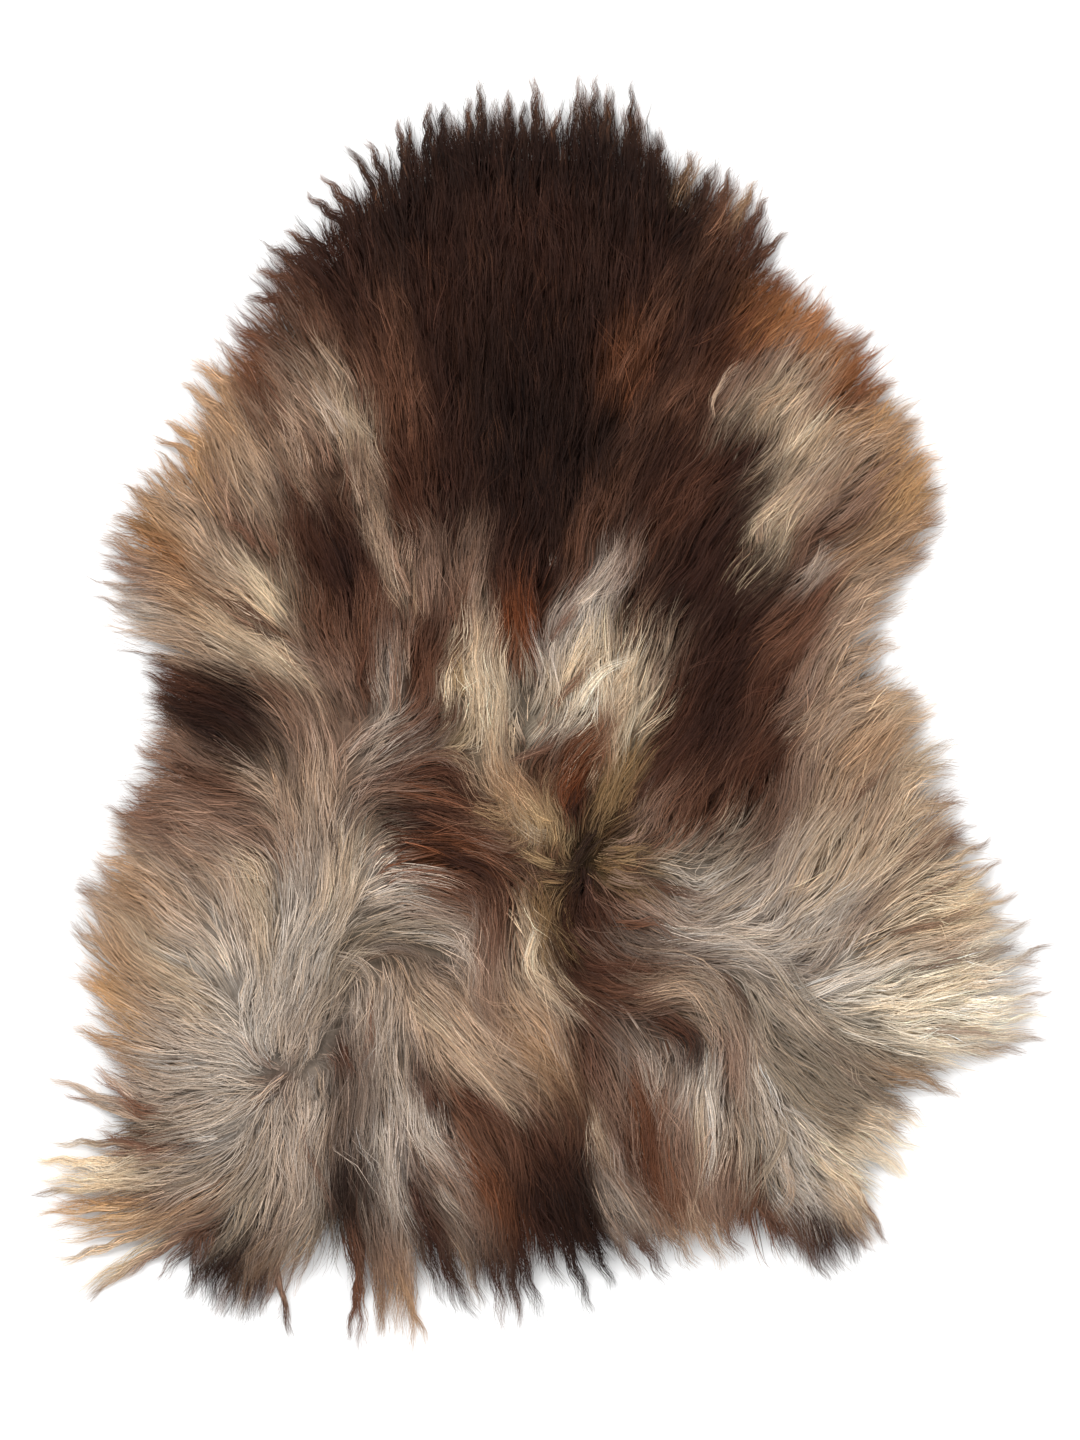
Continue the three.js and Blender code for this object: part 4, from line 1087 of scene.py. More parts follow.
# Surface locks
# The locks that lie on top of the fleece on this skin, each in its own tone: the swirls and curls over the
# parting, the rump and the tail.
SurfaceLock = namedtuple("SurfaceLock", "wide tone line")
SURFACE_LOCKS = [SurfaceLock(*row) for row in [
    # parting
    (1, "umber", [(-14.4, -4.6), (-11, -2.4), (-8.4, -0.9), (-5.8, 0.4)]),
    (0.7, "walnut", [(-13.6, -2.4), (-10.4, -0.6), (-8.4, 0.8), (-7.6, 1.8)]),
    (0.5, "mushroom", [(-12.8, -4.6), (-10, -3.6), (-7.6, -3.7), (-6, -5)]),
    (0.4, "umber", [(-11.6, -5.4), (-8, -4.6), (-6.4, -5.4), (-5, -6.8)]),
    (1.1, "chestnut", [(-14, -5.4), (-10, -6.2), (-6.6, -7.2), (-3.6, -9.2), (-0.8, -11.2)]),
    (1.1, "walnut", [(-13, -7.4), (-9, -8.4), (-5.6, -10), (-2.4, -12)]),
    (1, "bog", [(-9.4, -10.6), (-6.4, -12), (-4, -13.4), (-3.2, -16.4)]),
    (0.3, "peat", [(-4.8, -12.7), (-3.2, -12.9), (-1.8, -13), (-2.4, -14.8)]),
    (1, "chestnut", [(0.6, -8.6), (2, -6), (3.6, -3.6), (5.4, -0.8)]),
    (0.9, "russet", [(1.6, -8.8), (2.6, -6.6), (3.2, -4.6)]),
    (0.5, "walnut", [(-3.6, -4.4), (-1, -3.4), (1.6, -2.2), (3, -1.4)]),
    (0.35, "chestnut", [(0.6, 0), (2, 1.8), (3.6, 3.8), (4.9, 6)]),
    (0.6, "ivory", [(2.8, -0.6), (3.8, 1.8), (5.6, 3.8), (8.4, 5)]),
    (0.7, "cream", [(1.6, 1), (2.6, 3.6), (4, 6.6), (5, 9.4)]),
    (0.7, "beige", [(5.4, -1), (7, 1.2), (8.8, 3.4)]),
    (0.8, "cream", [(-5.4, -1), (-5.6, 2.4), (-5.8, 5.6), (-5, 9)]),
    (0.5, "straw", [(-6.8, 1), (-7, 4), (-7.4, 7)]), (0.9, "chestnut", [(-2.4, 2), (-2.2, 5), (-1.6, 9)]),
    (1, "beige", [(1.6, -10.6), (-0.6, -10), (-2.2, -8.4), (-3, -6)]),
    (0.7, "straw", [(1.6, -13), (-0.6, -12.2), (-2.2, -10.6)]),
    (0.5, "straw", [(1.6, -9.4), (0, -8.8), (-1.6, -7.6)]),
    (0.7, "umber", [(-15.4, -7.4), (-11.8, -4.6), (-8.6, -2.2), (-6.2, -0.2)]),
    (0.8, "walnut", [(-13.4, -5.8), (-10, -3.8), (-7, -3.4), (-5.2, -5.2)]),
    (0.8, "bog", [(-9.4, -6), (-7, -6.6), (-4.4, -8.2), (-1.8, -10.8)]),
    (0.8, "bog", [(2.4, -9.6), (2.4, -7.4), (3.6, -4.8)]),
    (0.5, "umber", [(-10, 1.6), (-8.2, 4.4), (-7.6, 7)]),
    (0.4, "mushroom", [(-3.4, -4.4), (-3.2, -1), (-3.4, 2)]),
    (1, "olive", [(5.2, -9), (5.8, -6.6), (7, -3.4)]),
    (0.8, "olive", [(5.6, -11.8), (7.2, -11.6), (9.6, -11.2)]),
    (0.8, "mushroom", [(5.2, -13.2), (7.4, -14), (10.4, -14.4)]),
    (0.4, "umber", [(6.2, -12.2), (7.8, -13.2), (9, -12.2), (10.4, -12.8)]),
    (0.3, "bog", [(9.6, -10.8), (8.2, -11.8), (8.8, -13.4), (10.8, -13.6)]),
    (0.35, "umber", [(7, -13), (9.4, -14.2), (12.4, -15.2), (15, -15.6)]),
    (0.5, "chestnut", [(5.4, -17.8), (8, -17.7), (9.8, -17.6), (11.6, -18.8)]),
    (0.6, "cream", [(0, -17.4), (-0.9, -19.6), (-0.8, -21.6), (0.4, -23.6)]),
    (0.5, "olive", [(0.9, -15.4), (0.3, -18), (0.1, -20.4), (1.4, -23)]),
    (1.1, "walnut", [(-4.6, -15), (-4.4, -18.6), (-4, -22)]),
    (0.9, "peat", [(5.4, -9.4), (4, -11), (2.9, -13), (2.4, -15.6)]),
    (0.8, "loam", [(2.6, -14), (2.2, -16.4), (1.9, -19.4)]),
    # rolls to the right
    (1, "umber", [(2, -20.6), (5, -21.6), (8, -21.6), (11, -22.6)]),
    (0.9, "walnut", [(2.6, -21.8), (5.4, -23), (8.4, -23.4), (10.6, -25.4)]),
    (1, "taupe", [(6, -20.4), (10, -20.2), (13.6, -21.4), (15.6, -25), (16, -29.6)]),
    (0.8, "fawn", [(8, -21.8), (11, -22), (13.6, -24.2), (14.6, -27.4), (13.9, -29.4)]),
    (1.1, "umber", [(8.6, -24.8), (11, -25.8), (12.9, -27.6), (12.2, -31)]),
    (0.6, "peat", [(10.8, -26.6), (12.6, -27.3), (13, -29), (12.3, -30.8)]),
    (0.5, "umber", [(14.6, -21.4), (16.4, -23.4), (17.4, -25.4), (18.2, -26.8)]),
    (1.1, "silver", [(8, -19.6), (12, -18.5), (16, -18.5), (19.6, -21), (22.4, -24.8)]),
    (1.1, "stone", [(16, -18.6), (19.4, -20), (21.6, -23.6), (25, -27.4), (29.4, -29.8)]),
    (0.9, "slate", [(20, -22.6), (23, -26.2), (26, -29), (30.6, -31.4)]),
    (0.8, "slate", [(22, -27.4), (25, -29.6), (28, -32), (31.4, -33.9)]),
    (0.9, "stone", [(17.2, -26.6), (19.4, -29.8), (22.6, -33.6), (26, -36)]),
    (0.9, "pearl", [(17.4, -28), (19, -32), (20.6, -35.6)]),
    (0.9, "pearl", [(14.6, -26.6), (14.3, -31), (14.9, -35.6), (14, -41)]),
    (0.8, "beige", [(13.6, -29), (13.2, -34), (13.4, -38.6), (12.4, -42.6)]),
    (0.8, "mushroom", [(10, -30), (10.4, -35), (11, -39.6), (11, -43.6)]),
    (0.8, "chestnut", [(8.6, -30), (8.7, -35.6), (9.4, -41), (11.2, -44.8)]),
    (0.6, "slate", [(6.4, -26), (7, -29.6), (7, -33)]),
    (0.8, "stone", [(20, -32.6), (20.4, -35.4), (18.8, -38.4), (16.8, -42.2)]),
    (0.3, "fawn", [(19.6, -36.4), (21, -38.8), (20.8, -41), (19.4, -42.8)]),
    (0.8, "walnut", [(18, -36), (17.8, -39.6), (16.6, -44)]),
    (0.8, "beige", [(4.4, -32.6), (4.3, -35), (5.4, -38)]),
    # left rump and tail
    (0.9, "peat", [(-16.8, -36), (-17, -39.4), (-15.8, -42.6), (-14.8, -44.8)]),
    (0.7, "umber", [(-16.9, -27.4), (-16.7, -29), (-15.9, -31)]),
    (0.8, "umber", [(-9.6, -30), (-9.2, -32.4), (-8, -34.6)]),
    (0.8, "umber", [(-7.4, -31.6), (-5, -33), (-2.4, -34.6), (-0.9, -36.4)]),
    (1, "beige", [(-12, -23), (-7.6, -27), (-3.6, -31.4), (-0.6, -34.2)]),
    (0.8, "fawn", [(-10.4, -24.8), (-6.4, -29), (-3, -33), (-1.4, -35.6)]),
    (0.9, "bog", [(-11.4, -37.6), (-10.4, -41), (-8.6, -45), (-6.4, -49.4)]),
    (0.8, "taupe", [(-9, -38.6), (-7.4, -41), (-5.4, -43.4)]),
    (0.4, "walnut", [(-20, -33), (-19.6, -36), (-18, -40), (-17, -43.4)]),
    (0.4, "chestnut", [(-14.4, -23), (-14.2, -26), (-14.4, -30)]),
    (0.9, "taupe", [(-18, -20.6), (-15, -21.5), (-13.6, -24)]),
    (0.8, "slate", [(-16, -20.4), (-12, -19.4), (-9.4, -20.4), (-8, -22.6)]),
    (0.9, "tan", [(-1, -24), (1, -26.6), (1.6, -29)]),
    (0.8, "stone", [(-26.6, -37.6), (-29.6, -39.4), (-33.6, -40)]),
    (0.8, "chestnut", [(-31, -33.4), (-33.6, -33.4), (-36.6, -31.6)]),
    # right hip
    (0.9, "pearl", [(21, -24), (25, -22.2), (29.6, -20.6)]),
    (0.7, "silver", [(19.6, -20), (23, -19), (27, -17.4)]),
    (0.35, "walnut", [(28, -19), (32, -17.8), (36.4, -16.4), (39.6, -13.8)]),
    (0.35, "umber", [(30, -16), (33.6, -14.8), (37, -13)]),
    (0.4, "walnut", [(30, -22), (34.6, -20.6), (39, -19.6), (42.6, -18)]),
    (0.35, "mushroom", [(31, -26.6), (36, -26.6), (41.6, -27.6)]),
    (0.6, "walnut", [(24, -9), (27.6, -5.6), (30.4, -3.6)]),
    # left shoulder
    (1, "umber", [(-18.8, 22.2), (-21.4, 24.6), (-23.4, 27.6), (-24.8, 30)]),
    (0.8, "taupe", [(-16.2, 23), (-17.8, 25.6), (-19.4, 28)]),
    (0.5, "beige", [(-13.6, 22.4), (-15.6, 24.6), (-17.2, 26.8)]),
    (0.6, "fawn", [(-14.2, 15.4), (-14.8, 18), (-15.9, 22.2)]),
    (0.6, "mushroom", [(-10.8, 9), (-12.8, 13.6), (-14.4, 16.8)]),
    (1.1, "bog", [(-15.6, 9), (-17.6, 12.6), (-19.4, 16.4), (-20.6, 19)]),
    (0.9, "peat", [(-15.8, 10.6), (-17, 13.2), (-18.2, 16)]),
    (0.6, "umber", [(-21.4, 5.8), (-23.6, 8), (-26, 9.2), (-28.6, 9.5)]),
    (0.4, "bog", [(-22, 6), (-24.4, 7.6), (-26.6, 8.6)]), (0.9, "cream", [(-21, 7.4), (-23, 10), (-25, 13)]),
    (0.5, "walnut", [(-23.6, 13.6), (-25, 15.4), (-27, 16.2)]),
    (0.5, "walnut", [(-21.8, 13), (-22.8, 14.4), (-24, 16.4)]),
    (0.9, "beige", [(-20.6, 3.4), (-24, 5.6), (-28, 8)]),
    (0.8, "umber", [(-15, 1.4), (-14.4, 5), (-14.2, 8.6)]),
    (0.6, "mushroom", [(-12.2, -1), (-12.2, 3), (-12.6, 8)]),
    (0.8, "walnut", [(-9.8, 1), (-9.4, 3.6), (-8.6, 6.4)]),
    (1, "bog", [(-22, -2), (-26, 0.6), (-30, 2.2), (-33.4, 3.4)]),
    # right shoulder
    (0.35, "fawn", [(14.7, 24), (14.4, 26.2), (15.4, 28), (17.2, 29.6)]),
    (0.8, "tan", [(16.8, 24.4), (19.4, 26.6), (22, 28.6)]),
    # The cream streak and the curved fawn lock on this shoulder are partly painted highlights, where light
    # catches the tops of their locks.
    (0.9, "cream", [(18.8, 19.8), (20.6, 22.2), (22.6, 24.4), (24.8, 27.2)]),
    (0.8, "bog", [(15.6, 16.2), (18, 18.6), (20.6, 20.2)]),
    (0.8, "bog", [(14.8, 19.2), (17.2, 21.6), (19.3, 23.4)]),
    (0.9, "fawn", [(18.8, 13.4), (18.6, 15.8), (19.8, 17.8), (22.6, 19.6)]),
    (0.9, "mushroom", [(23.4, 14.8), (26, 16.6), (29.4, 20.2)]),
    (0.7, "taupe", [(22.2, 10.6), (23.4, 12.6), (24.6, 14.6)]),
    (1, "gold", [(29, 15.6), (31, 18.6), (33, 22)]), (0.9, "chestnut", [(25, 25), (27, 27.4), (29.2, 30)]),
    (0.8, "ginger", [(18, 30.4), (20.4, 32.6), (23.4, 34.6)]),
    (0.6, "walnut", [(9.4, 24.4), (11.4, 26.6), (13.6, 28.8)]),
    (0.7, "walnut", [(6, 27), (7.2, 29.6), (8.8, 32.6)]),
    # back
    (0.9, "silver", [(1.6, 6.6), (3.6, 9.6), (5.4, 12), (7, 14.2)]),
    (0.35, "chestnut", [(0.6, 5.8), (1.8, 7.8), (3, 9.8)]),
    (0.9, "bog", [(8, 4.6), (9.4, 7.4), (11.6, 10.4)]), (0.5, "beige", [(5.6, 1.6), (7, 3.8), (8, 6)]),
]]


def surface_locks(seed):
    """The locks of the table, each along its own line."""
    draw = np.random.default_rng(seed)
    n = len(SURFACE_LOCKS)
    path = np.stack([smooth_line(np.array(k.line) * CM, GUIDE_STEPS + 1) for k in SURFACE_LOCKS])
    return {
        "path": path,
        "length": np.linalg.norm(np.diff(path, axis=1), axis=2).sum(1),
        "wide": np.array([k.wide for k in SURFACE_LOCKS]) * CM,
        "thick": 0.004,
        "share": 1.0,
        "gather": 0.5,
        "wave": draw.uniform(0.0008, 0.0018, n),
        "wavelength": draw.uniform(0.03, 0.05, n),
        "sway": draw.uniform(0, 2 * np.pi, n),
        "splay": 0.004,
        "width": 0.0005,
        "rise": 0.1,
        "root_shade": 0.8,
        "tone": np.array([to_linear(TONES[k.tone]) for k in SURFACE_LOCKS]),
    }


surface = fibres("surface_locks", surface_locks(seed=13), per_lock=34, rings=6, seed=30)


# Edge locks
# Round the edge the longest hair lies out over the floor in pointed locks, and finer hair feathers out
# between them. The locks of the table are the ones that stand out on this skin.
EdgeLock = namedtuple("EdgeLock", "x y tip_x tip_y bow wide")
EDGE_LOCKS = [EdgeLock(*row) for row in [
    (-9.4, 45.5, -9.5, 52.4, 0.3, 1.6), (-8.2, 46, -8.2, 52.3, 0.2, 1), (-6.3, 46, -6.2, 52.9, -0.2, 1.2),
    (-5.2, 46.5, -5.3, 54.6, 0, 2), (-2.6, 47, -2.8, 53.4, 0.2, 1.2), (-1.6, 47, -1.5, 52.7, 0.1, 0.9),
    (-0.4, 46.5, -0.6, 54.8, -0.3, 1.3), (0.6, 46, 1.6, 51.6, 0.3, 1), (3.4, 46, 3.4, 54.8, 0.1, 2.2),
    (4.2, 46, 4.8, 54.9, 0.2, 2), (5.2, 46, 6, 53.6, 0.1, 1.5), (7.2, 45.5, 7.6, 54.4, -0.2, 1.6),
    (7.8, 45.5, 8.3, 52.4, -0.1, 1.6), (9, 44.5, 10.3, 49.6, 0, 1.6), (11.5, 43, 13, 48.3, 0.2, 1.8),
    (13, 42, 14.5, 47.2, 0.2, 1.6), (14.6, 41.4, 16.3, 46.8, 0.2, 1.8), (15.8, 40.6, 18.3, 45.8, -0.3, 1.8),
    (17, 39.4, 19.4, 44.2, 0.2, 1.6), (17.6, 37.4, 21.2, 41.2, 0.2, 1.6), (-11, 44.5, -12.2, 50.9, 0.3, 1.5),
    (-10.4, 45, -11.2, 51.2, 0.8, 0.9), (-13, 43, -15.2, 49.2, -0.9, 1.1),
    (-13.4, 42.6, -17.2, 48.8, -1.1, 1.3), (-15, 41, -19, 46.2, -0.5, 1.4),
    (-15.6, 41, -20.2, 44.6, 0.4, 1.6), (-17.6, 38.8, -21.9, 41.3, 0.3, 1.5),
    (-18.6, 37.6, -23.3, 39.9, 0.2, 1.3), (-19.4, 36.4, -24.4, 37.8, 0.2, 1.5),
    (-20, 35, -25.6, 35.4, 0.2, 1.3), (-22, 31, -26.4, 33, 0.2, 1.5), (-25, 27, -30.2, 30.4, 0.3, 1.8),
    (-26, 25, -30.8, 28.4, 0.3, 1.4), (-27.5, 21.5, -32.4, 25, -0.7, 1.4), (-28, 21, -33.4, 23.6, -0.6, 1),
    (-30, 16.5, -35.2, 19.4, 0.2, 2), (-31, 12, -37.6, 15.6, 0.3, 1.6), (-30.6, 11, -37.6, 13, 0.2, 1.5),
    (-30, 8, -36.2, 9.8, 0.2, 1.4), (-28.4, 1.5, -34.4, 3.6, 0.3, 1.8), (-28.6, 0, -33.6, 2, 0.2, 1.6),
    (-29.4, -4.4, -35, -2.6, 0.3, 1.7), (-31, -9, -36.6, -8, 0.3, 1.8), (-32.4, -13, -38.2, -11.8, 0.4, 2),
    (-33.6, -17, -40, -14.6, 0.4, 1.9), (-34, -21, -40.4, -17.4, 0.7, 2), (-34, -25, -39.6, -22.2, 0.4, 1.8),
    (-33.4, -28, -40.2, -26.8, 0.3, 2), (-32.6, -32.8, -38.4, -29.6, 0.4, 2),
    (-31, -34, -42.4, -30.6, 0.6, 1.2), (-31, -34.6, -41, -32, 0.4, 1),
    (-30, -36.4, -42.4, -36.6, -0.4, 0.9), (-30, -37, -38, -35.2, 0.3, 1.3),
    (-31.6, -38.4, -43.3, -38.4, 0.3, 2.4), (-31.6, -39.4, -43.4, -39.8, -0.2, 2),
    (-31, -40.6, -42.8, -41.4, 0.3, 1.8), (-31, -41.6, -42.6, -43.4, 0.4, 1.8),
    (-30.4, -42, -42, -45.2, 0.4, 2), (-28.6, -42.6, -40.4, -49.8, -0.5, 1.7),
    (-28, -42.6, -36.6, -48.6, -0.3, 1.3), (-27, -42, -33, -48.4, -0.4, 2),
    (-25, -42.4, -30.2, -50, -0.5, 2.6), (-24, -43, -28, -51.6, -0.4, 2.6),
    (-22.6, -43, -25.6, -52.2, -0.4, 2), (-23, -45.4, -21.4, -53.4, 0.5, 0.9),
    (-21.6, -43, -24, -51.6, 0.4, 1.4), (-15.6, -41, -15.5, -55, 0.4, 1.7),
    (-14.6, -41, -13.6, -53.4, 0.3, 2), (-12.6, -41, -12.6, -53.2, 0.2, 2.2),
    (-11.6, -41, -10.9, -54.9, 0.5, 1.8), (-10.6, -41, -8, -50.8, -0.4, 1.9),
    (-9.2, -41.4, -5.2, -52.2, -0.8, 1.9), (-7, -41.4, -4.9, -51, -0.4, 1.6),
    (-5, -41.4, -3.2, -53, 0.3, 1.8), (-4, -41, -1.6, -52.8, 0.3, 1.2), (-2.6, -41, 0.2, -52, -0.5, 1.8),
    (-1, -41, 1.8, -49.2, 0.2, 1.5), (0.6, -41, 4.5, -51.6, 0.4, 1.6), (2.4, -41, 6.2, -49.2, 0.3, 1.7),
    (4.4, -41, 8.6, -48.4, 0.3, 1.8), (6.4, -41, 11, -48.8, 0.3, 1.8), (8.6, -40.6, 13.4, -47.4, 0.3, 1.7),
    (11, -40, 16, -47.4, 0.3, 1.8), (13.4, -40, 17.4, -46.6, -0.4, 1.6), (17.4, -39.6, 21, -46, 0.3, 1.6),
    (19.4, -39.4, 24.8, -48.7, 0.3, 2.4), (21, -39, 26, -48, 0.3, 2.2), (22.4, -38.6, 27.6, -46.8, 0.3, 1.8),
    (23.4, -37.6, 28.6, -45.4, 0.4, 1.8), (23.8, -36.6, 29.6, -45.8, 0.8, 1.4),
    (24, -35, 31.4, -39.6, 0.4, 1.5), (24.4, -33.6, 32.8, -37.6, 0.5, 1.8), (25, -32, 31.4, -36, 0.3, 1.6),
    (25.2, -31, 31.8, -33.9, 0.6, 1.5), (27, -29, 36.2, -33, 1.1, 1.3), (28, -28.6, 35, -30.6, 0.3, 1.8),
    (31, -27.6, 42.2, -28.7, 0.3, 1.6), (32.6, -26.6, 42.9, -26.8, -0.5, 2.2),
    (33, -25, 43, -24.6, -0.5, 2.3), (33.4, -23, 43.3, -22.4, -0.4, 2.2),
    (33.4, -21.8, 43.3, -20.6, -0.6, 1.6), (33, -20.6, 40.8, -19.2, -0.9, 1.4),
    (32.6, -18.4, 41.4, -17.6, 0.4, 1.8), (31.4, -17, 39.5, -14.2, -0.8, 1.3), (31, -15, 38.4, -13, 0.4, 2),
    (30, -11.6, 37.6, -11, 0.3, 2), (29.4, -8.4, 36.8, -7.2, 0.3, 2), (28.4, -5, 36, -4.8, 0.3, 1.9),
    (27, -1.6, 33.8, 0, 0.2, 1.8), (26, 0.6, 32.6, 2, 0.3, 1.8), (24.6, 4, 30.6, 6.2, 0.4, 1.6),
    (25.6, 9, 31, 11, 0.3, 1.8), (27, 12, 33.4, 13.8, 0.3, 1.8), (28.6, 14.6, 34.8, 17, 0.2, 1.8),
    (28.8, 17.4, 35, 19.6, 0.2, 1.9), (28.8, 19.4, 34, 22.4, 0.2, 1.8), (27, 22, 32.6, 25.4, 0.2, 1.8),
    (25.4, 25, 30.6, 28.8, 0.2, 1.8), (24, 27.2, 29.2, 31.4, 0.2, 1.8), (22.6, 28.6, 27.8, 32.6, 0.3, 1.6),
    (20, 30.6, 24.6, 35, 0.2, 1.8), (20, -38.6, 23.6, -47.4, 0.3, 2.6), (21.4, -38.8, 25.2, -48, 0.2, 2.6),
    (22.6, -38.6, 26.8, -47.4, 0.2, 2.6), (23.4, -38, 27.9, -46, 0.3, 2.4),
    (18.8, -39.4, 22.4, -46.8, 0.3, 2.4), (-27.4, -42, -30, -50.2, -0.3, 2.6),
    (-26, -42.6, -28.4, -51, -0.3, 2.6), (-24.6, -43, -26.8, -51.8, -0.3, 2.6),
    (-23.4, -43, -24.8, -52, 0.2, 2.6), (-24, -43, -26, -52, 0.4, 2.4), (-14, -41, -13.8, -53.6, 0.3, 2.4),
    (-12.2, -41, -12, -53.8, 0.3, 2.4), (-8.4, -41, -7, -51.6, -0.3, 2.2),
    (-3.4, -41, -2.2, -51.6, 0.3, 2.2), (33, -27.4, 43.4, -27.8, 0.5, 0.9), (33, -24, 44, -23.6, -0.7, 0.9),
    (33.6, -22.4, 44.2, -19.2, -0.6, 0.8), (32.6, -19.6, 42.4, -17.4, -0.8, 0.8),
    (31.6, -17.6, 41, -15, -0.9, 0.8), (31, -16, 39.6, -12.2, -0.8, 0.8),
    (30.6, -13.6, 38.8, -10.4, -0.6, 0.9), (33, -26, 44, -25.4, -0.4, 0.8), (26, -32, 33.4, -35.6, 0.6, 3),
    (25.4, -34.6, 32, -39.8, 0.6, 3), (-33, -39, -44, -40.8, 0.5, 0.9), (-33, -41, -43.6, -42.4, 0.5, 0.9),
    (-32, -43, -41.8, -46.8, 0.6, 0.9), (-30.6, -44, -39, -50.2, -0.5, 0.8),
    (-33, -37.4, -43.8, -37.8, 0.4, 0.8), (-13, -44, -9.4, -54, -0.4, 0.8),
    (-15, -44, -16.6, -53.8, 0.3, 0.8),
]]
NECK_FROM = 0.33
RIGHT_HIP_FROM = 0.28
TAIL_FROM = -0.36
NARROW = 0.015
HALF_LOCK = 0.42
BROWN_TIPS = 0.35
BROWN_TIPS_AT_HIP = 0.75
BROWN_TIPS_AT_TAIL = 0.1


def edge_locks(seed):
    """The locks of the table, each bowed to its own left on its way out."""
    rows = np.array(EDGE_LOCKS) * CM
    root, tip, bow, wide = rows[:, :2], rows[:, 2:4], rows[:, 4:5], rows[:, 5]
    out = tip - root
    length = np.linalg.norm(out, axis=1)
    left = np.column_stack([-out[:, 1], out[:, 0]]) / length[:, None]
    middle = (root + tip) / 2 + left * bow
    t = np.linspace(0, 1, GUIDE_STEPS + 1)[None, :, None]
    path = root[:, None] * (1 - t) ** 2 + 2 * middle[:, None] * t * (1 - t) + tip[:, None] * t**2
    n = len(rows)
    draw = np.random.default_rng(seed)
    neck, tail = root[:, 1] > NECK_FROM, root[:, 1] < TAIL_FROM
    tight = neck | (wide < NARROW)
    brown_tips = np.where(tail, BROWN_TIPS_AT_TAIL, BROWN_TIPS)
    brown_tips = np.where(root[:, 0] > RIGHT_HIP_FROM, BROWN_TIPS_AT_HIP, brown_tips)
    return {
        "path": path,
        "length": length,
        "wide": wide * HALF_LOCK,
        "thick": 0.004,
        "share": 0.9,
        "gather": np.where(tight, 0.86, 0.76),
        "wave": draw.uniform(0.0014, 0.0026, n),
        "wavelength": draw.uniform(0.018, 0.028, n) * np.where(neck, 1, 1.5),
        "sway": draw.uniform(0, 2 * np.pi, n),
        "splay": np.where(tight, 0.0018, 0.0036),
        "width": 0.00062,
        "shade": np.exp(draw.normal(0, 0.08, n)),
        "ragged": 0.32,
        "root_shade": 0.8,
        "tipped": np.where(draw.random(n) < brown_tips, 0.8, 0),
        "bleach_and_glow": np.where(tail, 0.3, 1.5),
    }


FRINGE_LENGTH = 0.13
RIM_INSET = 0.012
RIM_WIDTH = 0.014
TAIL_FRINGE = 0.55


def fringe_locks(count, start, seed, past, wide, gather, splay, width):
    """Fine locks all round the edge, rooted along the skin's rim and ending past the dense wool."""
    draw = np.random.default_rng(seed)
    roots = scatter(count, np.abs(past_skin + RIM_INSET), RIM_WIDTH, start)
    n = len(roots)
    lengths = FRINGE_LENGTH * length_here(roots)
    tail = roots[:, 1] < TAIL_FROM
    reaches = past * (0.1 + draw.random(n) ** 1.6) * np.where(tail, TAIL_FRINGE, 1)
    path, kept = comb(roots, lengths, reaches)
    return {
        "path": turned(path, draw.normal(0, 0.09, n)),
        "kept": kept,
        "length": lengths,
        "wide": wide * draw.uniform(0.6, 1.6, n),
        "thick": draw.uniform(0.001, 0.005, n),
        "share": draw.uniform(0.5, 0.98, n),
        "gather": np.clip(gather + draw.uniform(-0.2, 0.15, n), 0, 0.95),
        "wave": draw.uniform(0.0008, 0.0026, n),
        "wavelength": draw.uniform(0.018, 0.036, n),
        "sway": draw.uniform(0, 2 * np.pi, n),
        "splay": splay,
        "width": width,
        "shade": np.exp(draw.normal(0, 0.10, n)),
        "ragged": 0.4,
        "root_shade": 0.7,
        "tipped": np.where(draw.random(n) < np.where(tail, 0.15, 0.5), 0.8, 0),
        "bleach_and_glow": np.where(tail, 0.3, 1.4),
    }


long_locks = fibres("edge_locks", edge_locks(seed=5), per_lock=50, rings=9, seed=25, crowding=0.75)
pointed = fringe_locks(
    count=1000, start=90001, seed=6,
    past=0.028, wide=0.003, gather=0.86, splay=0.0016, width=0.0005,
)
feathered = fringe_locks(
    count=1000, start=150001, seed=8,
    past=0.034, wide=0.006, gather=0.2, splay=0.008, width=0.00036,
)
fringe = fibres("edge_fringe", pointed, per_lock=10, rings=6, seed=26, crowding=0.55)
edge_hairs = fibres("edge_hairs", feathered, per_lock=5, rings=5, seed=28, crowding=0.6)


# Stray hairs
# A thin veil of single hairs that have slipped out of the locks and lie across them.
# They are rooted all over the skin as the long wool is, and lie on top of it.
STRAY_TURN = 0.22
STRAY_SPLAY = 2
STRAY_LIGHT = (0.05, 0.3)

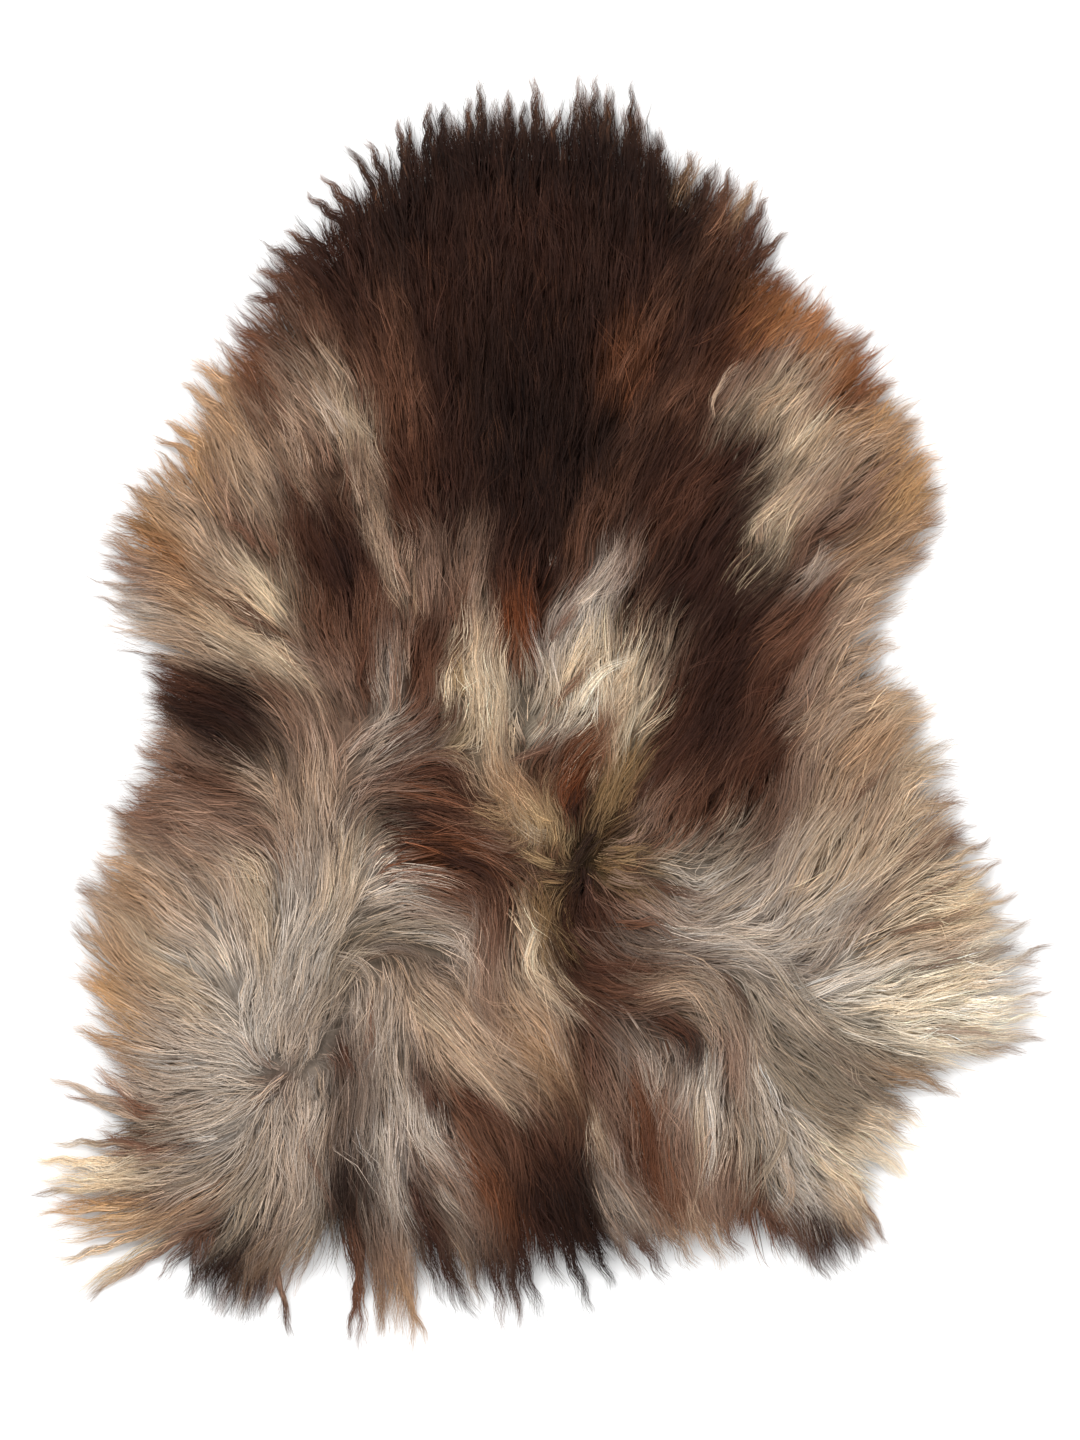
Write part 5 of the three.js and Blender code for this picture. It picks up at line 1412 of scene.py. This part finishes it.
stray_locks = fleece_locks(
    count=1100, start=120011, seed=7,
    length=0.085, wide=0.010, share=1.03, gather=-0.2, wave=0.004, width=0.00042, root_shade=1.0,
)
stray_draw = np.random.default_rng(12)
stray_count = len(stray_locks["path"])
stray_locks["splay"] *= STRAY_SPLAY
stray_locks["path"] = turned(stray_locks["path"], stray_draw.normal(0, STRAY_TURN, stray_count))
stray_locks["shade"] = np.exp(stray_draw.normal(*STRAY_LIGHT, stray_count))
strays = fibres("stray_hairs", stray_locks, per_lock=5, rings=4, seed=27)


# Floor and light
# A plain white floor, and a studio with white light from all round.
# A broad soft light stands at the upper left, and a weaker one fills in from the lower right.
FLOOR_REACH = 30
FLOOR_FINISH = {"Base Color": (0.93, 0.93, 0.93, 1), "Roughness": 0.9, "Specular IOR Level": 0.1}
STUDIO_LIGHT = {"Color": (1, 1, 1, 1), "Strength": 0.8}

corners = [(x * FLOOR_REACH, y * FLOOR_REACH, 0) for x, y in [(-1, -1), (1, -1), (1, 1), (-1, 1)]]
floor_data = bpy.data.meshes.new("floor")
floor_data.from_pydata(corners, [], [(0, 1, 2, 3)])
floor = bpy.data.objects.new("floor", floor_data)
bpy.context.scene.collection.objects.link(floor)
floor.data.materials.append(new_material("white_floor", FLOOR_FINISH)[0])

world = bpy.data.worlds.new("studio")
world.use_nodes = True
set_inputs(world.node_tree.nodes["Background"], STUDIO_LIGHT)
bpy.context.scene.world = world


def soft_box(name, place, size, power):
    """A square soft light, turned to the middle of the floor."""
    data = bpy.data.lights.new(name, "AREA")
    data.shape = "RECTANGLE"
    data.size = data.size_y = size
    data.energy = power
    lamp = bpy.data.objects.new(name, data)
    lamp.location = place
    lamp.rotation_euler = (-Vector(place)).to_track_quat("-Z", "Y").to_euler()
    bpy.context.scene.collection.objects.link(lamp)


soft_box("key_light", place=(-1.0, 1.45, 3.05), size=1.6, power=90)
soft_box("fill_light", place=(2.4, -1.2, 2.6), size=2.0, power=24)

bpy.context.scene.view_settings.view_transform = "Standard"
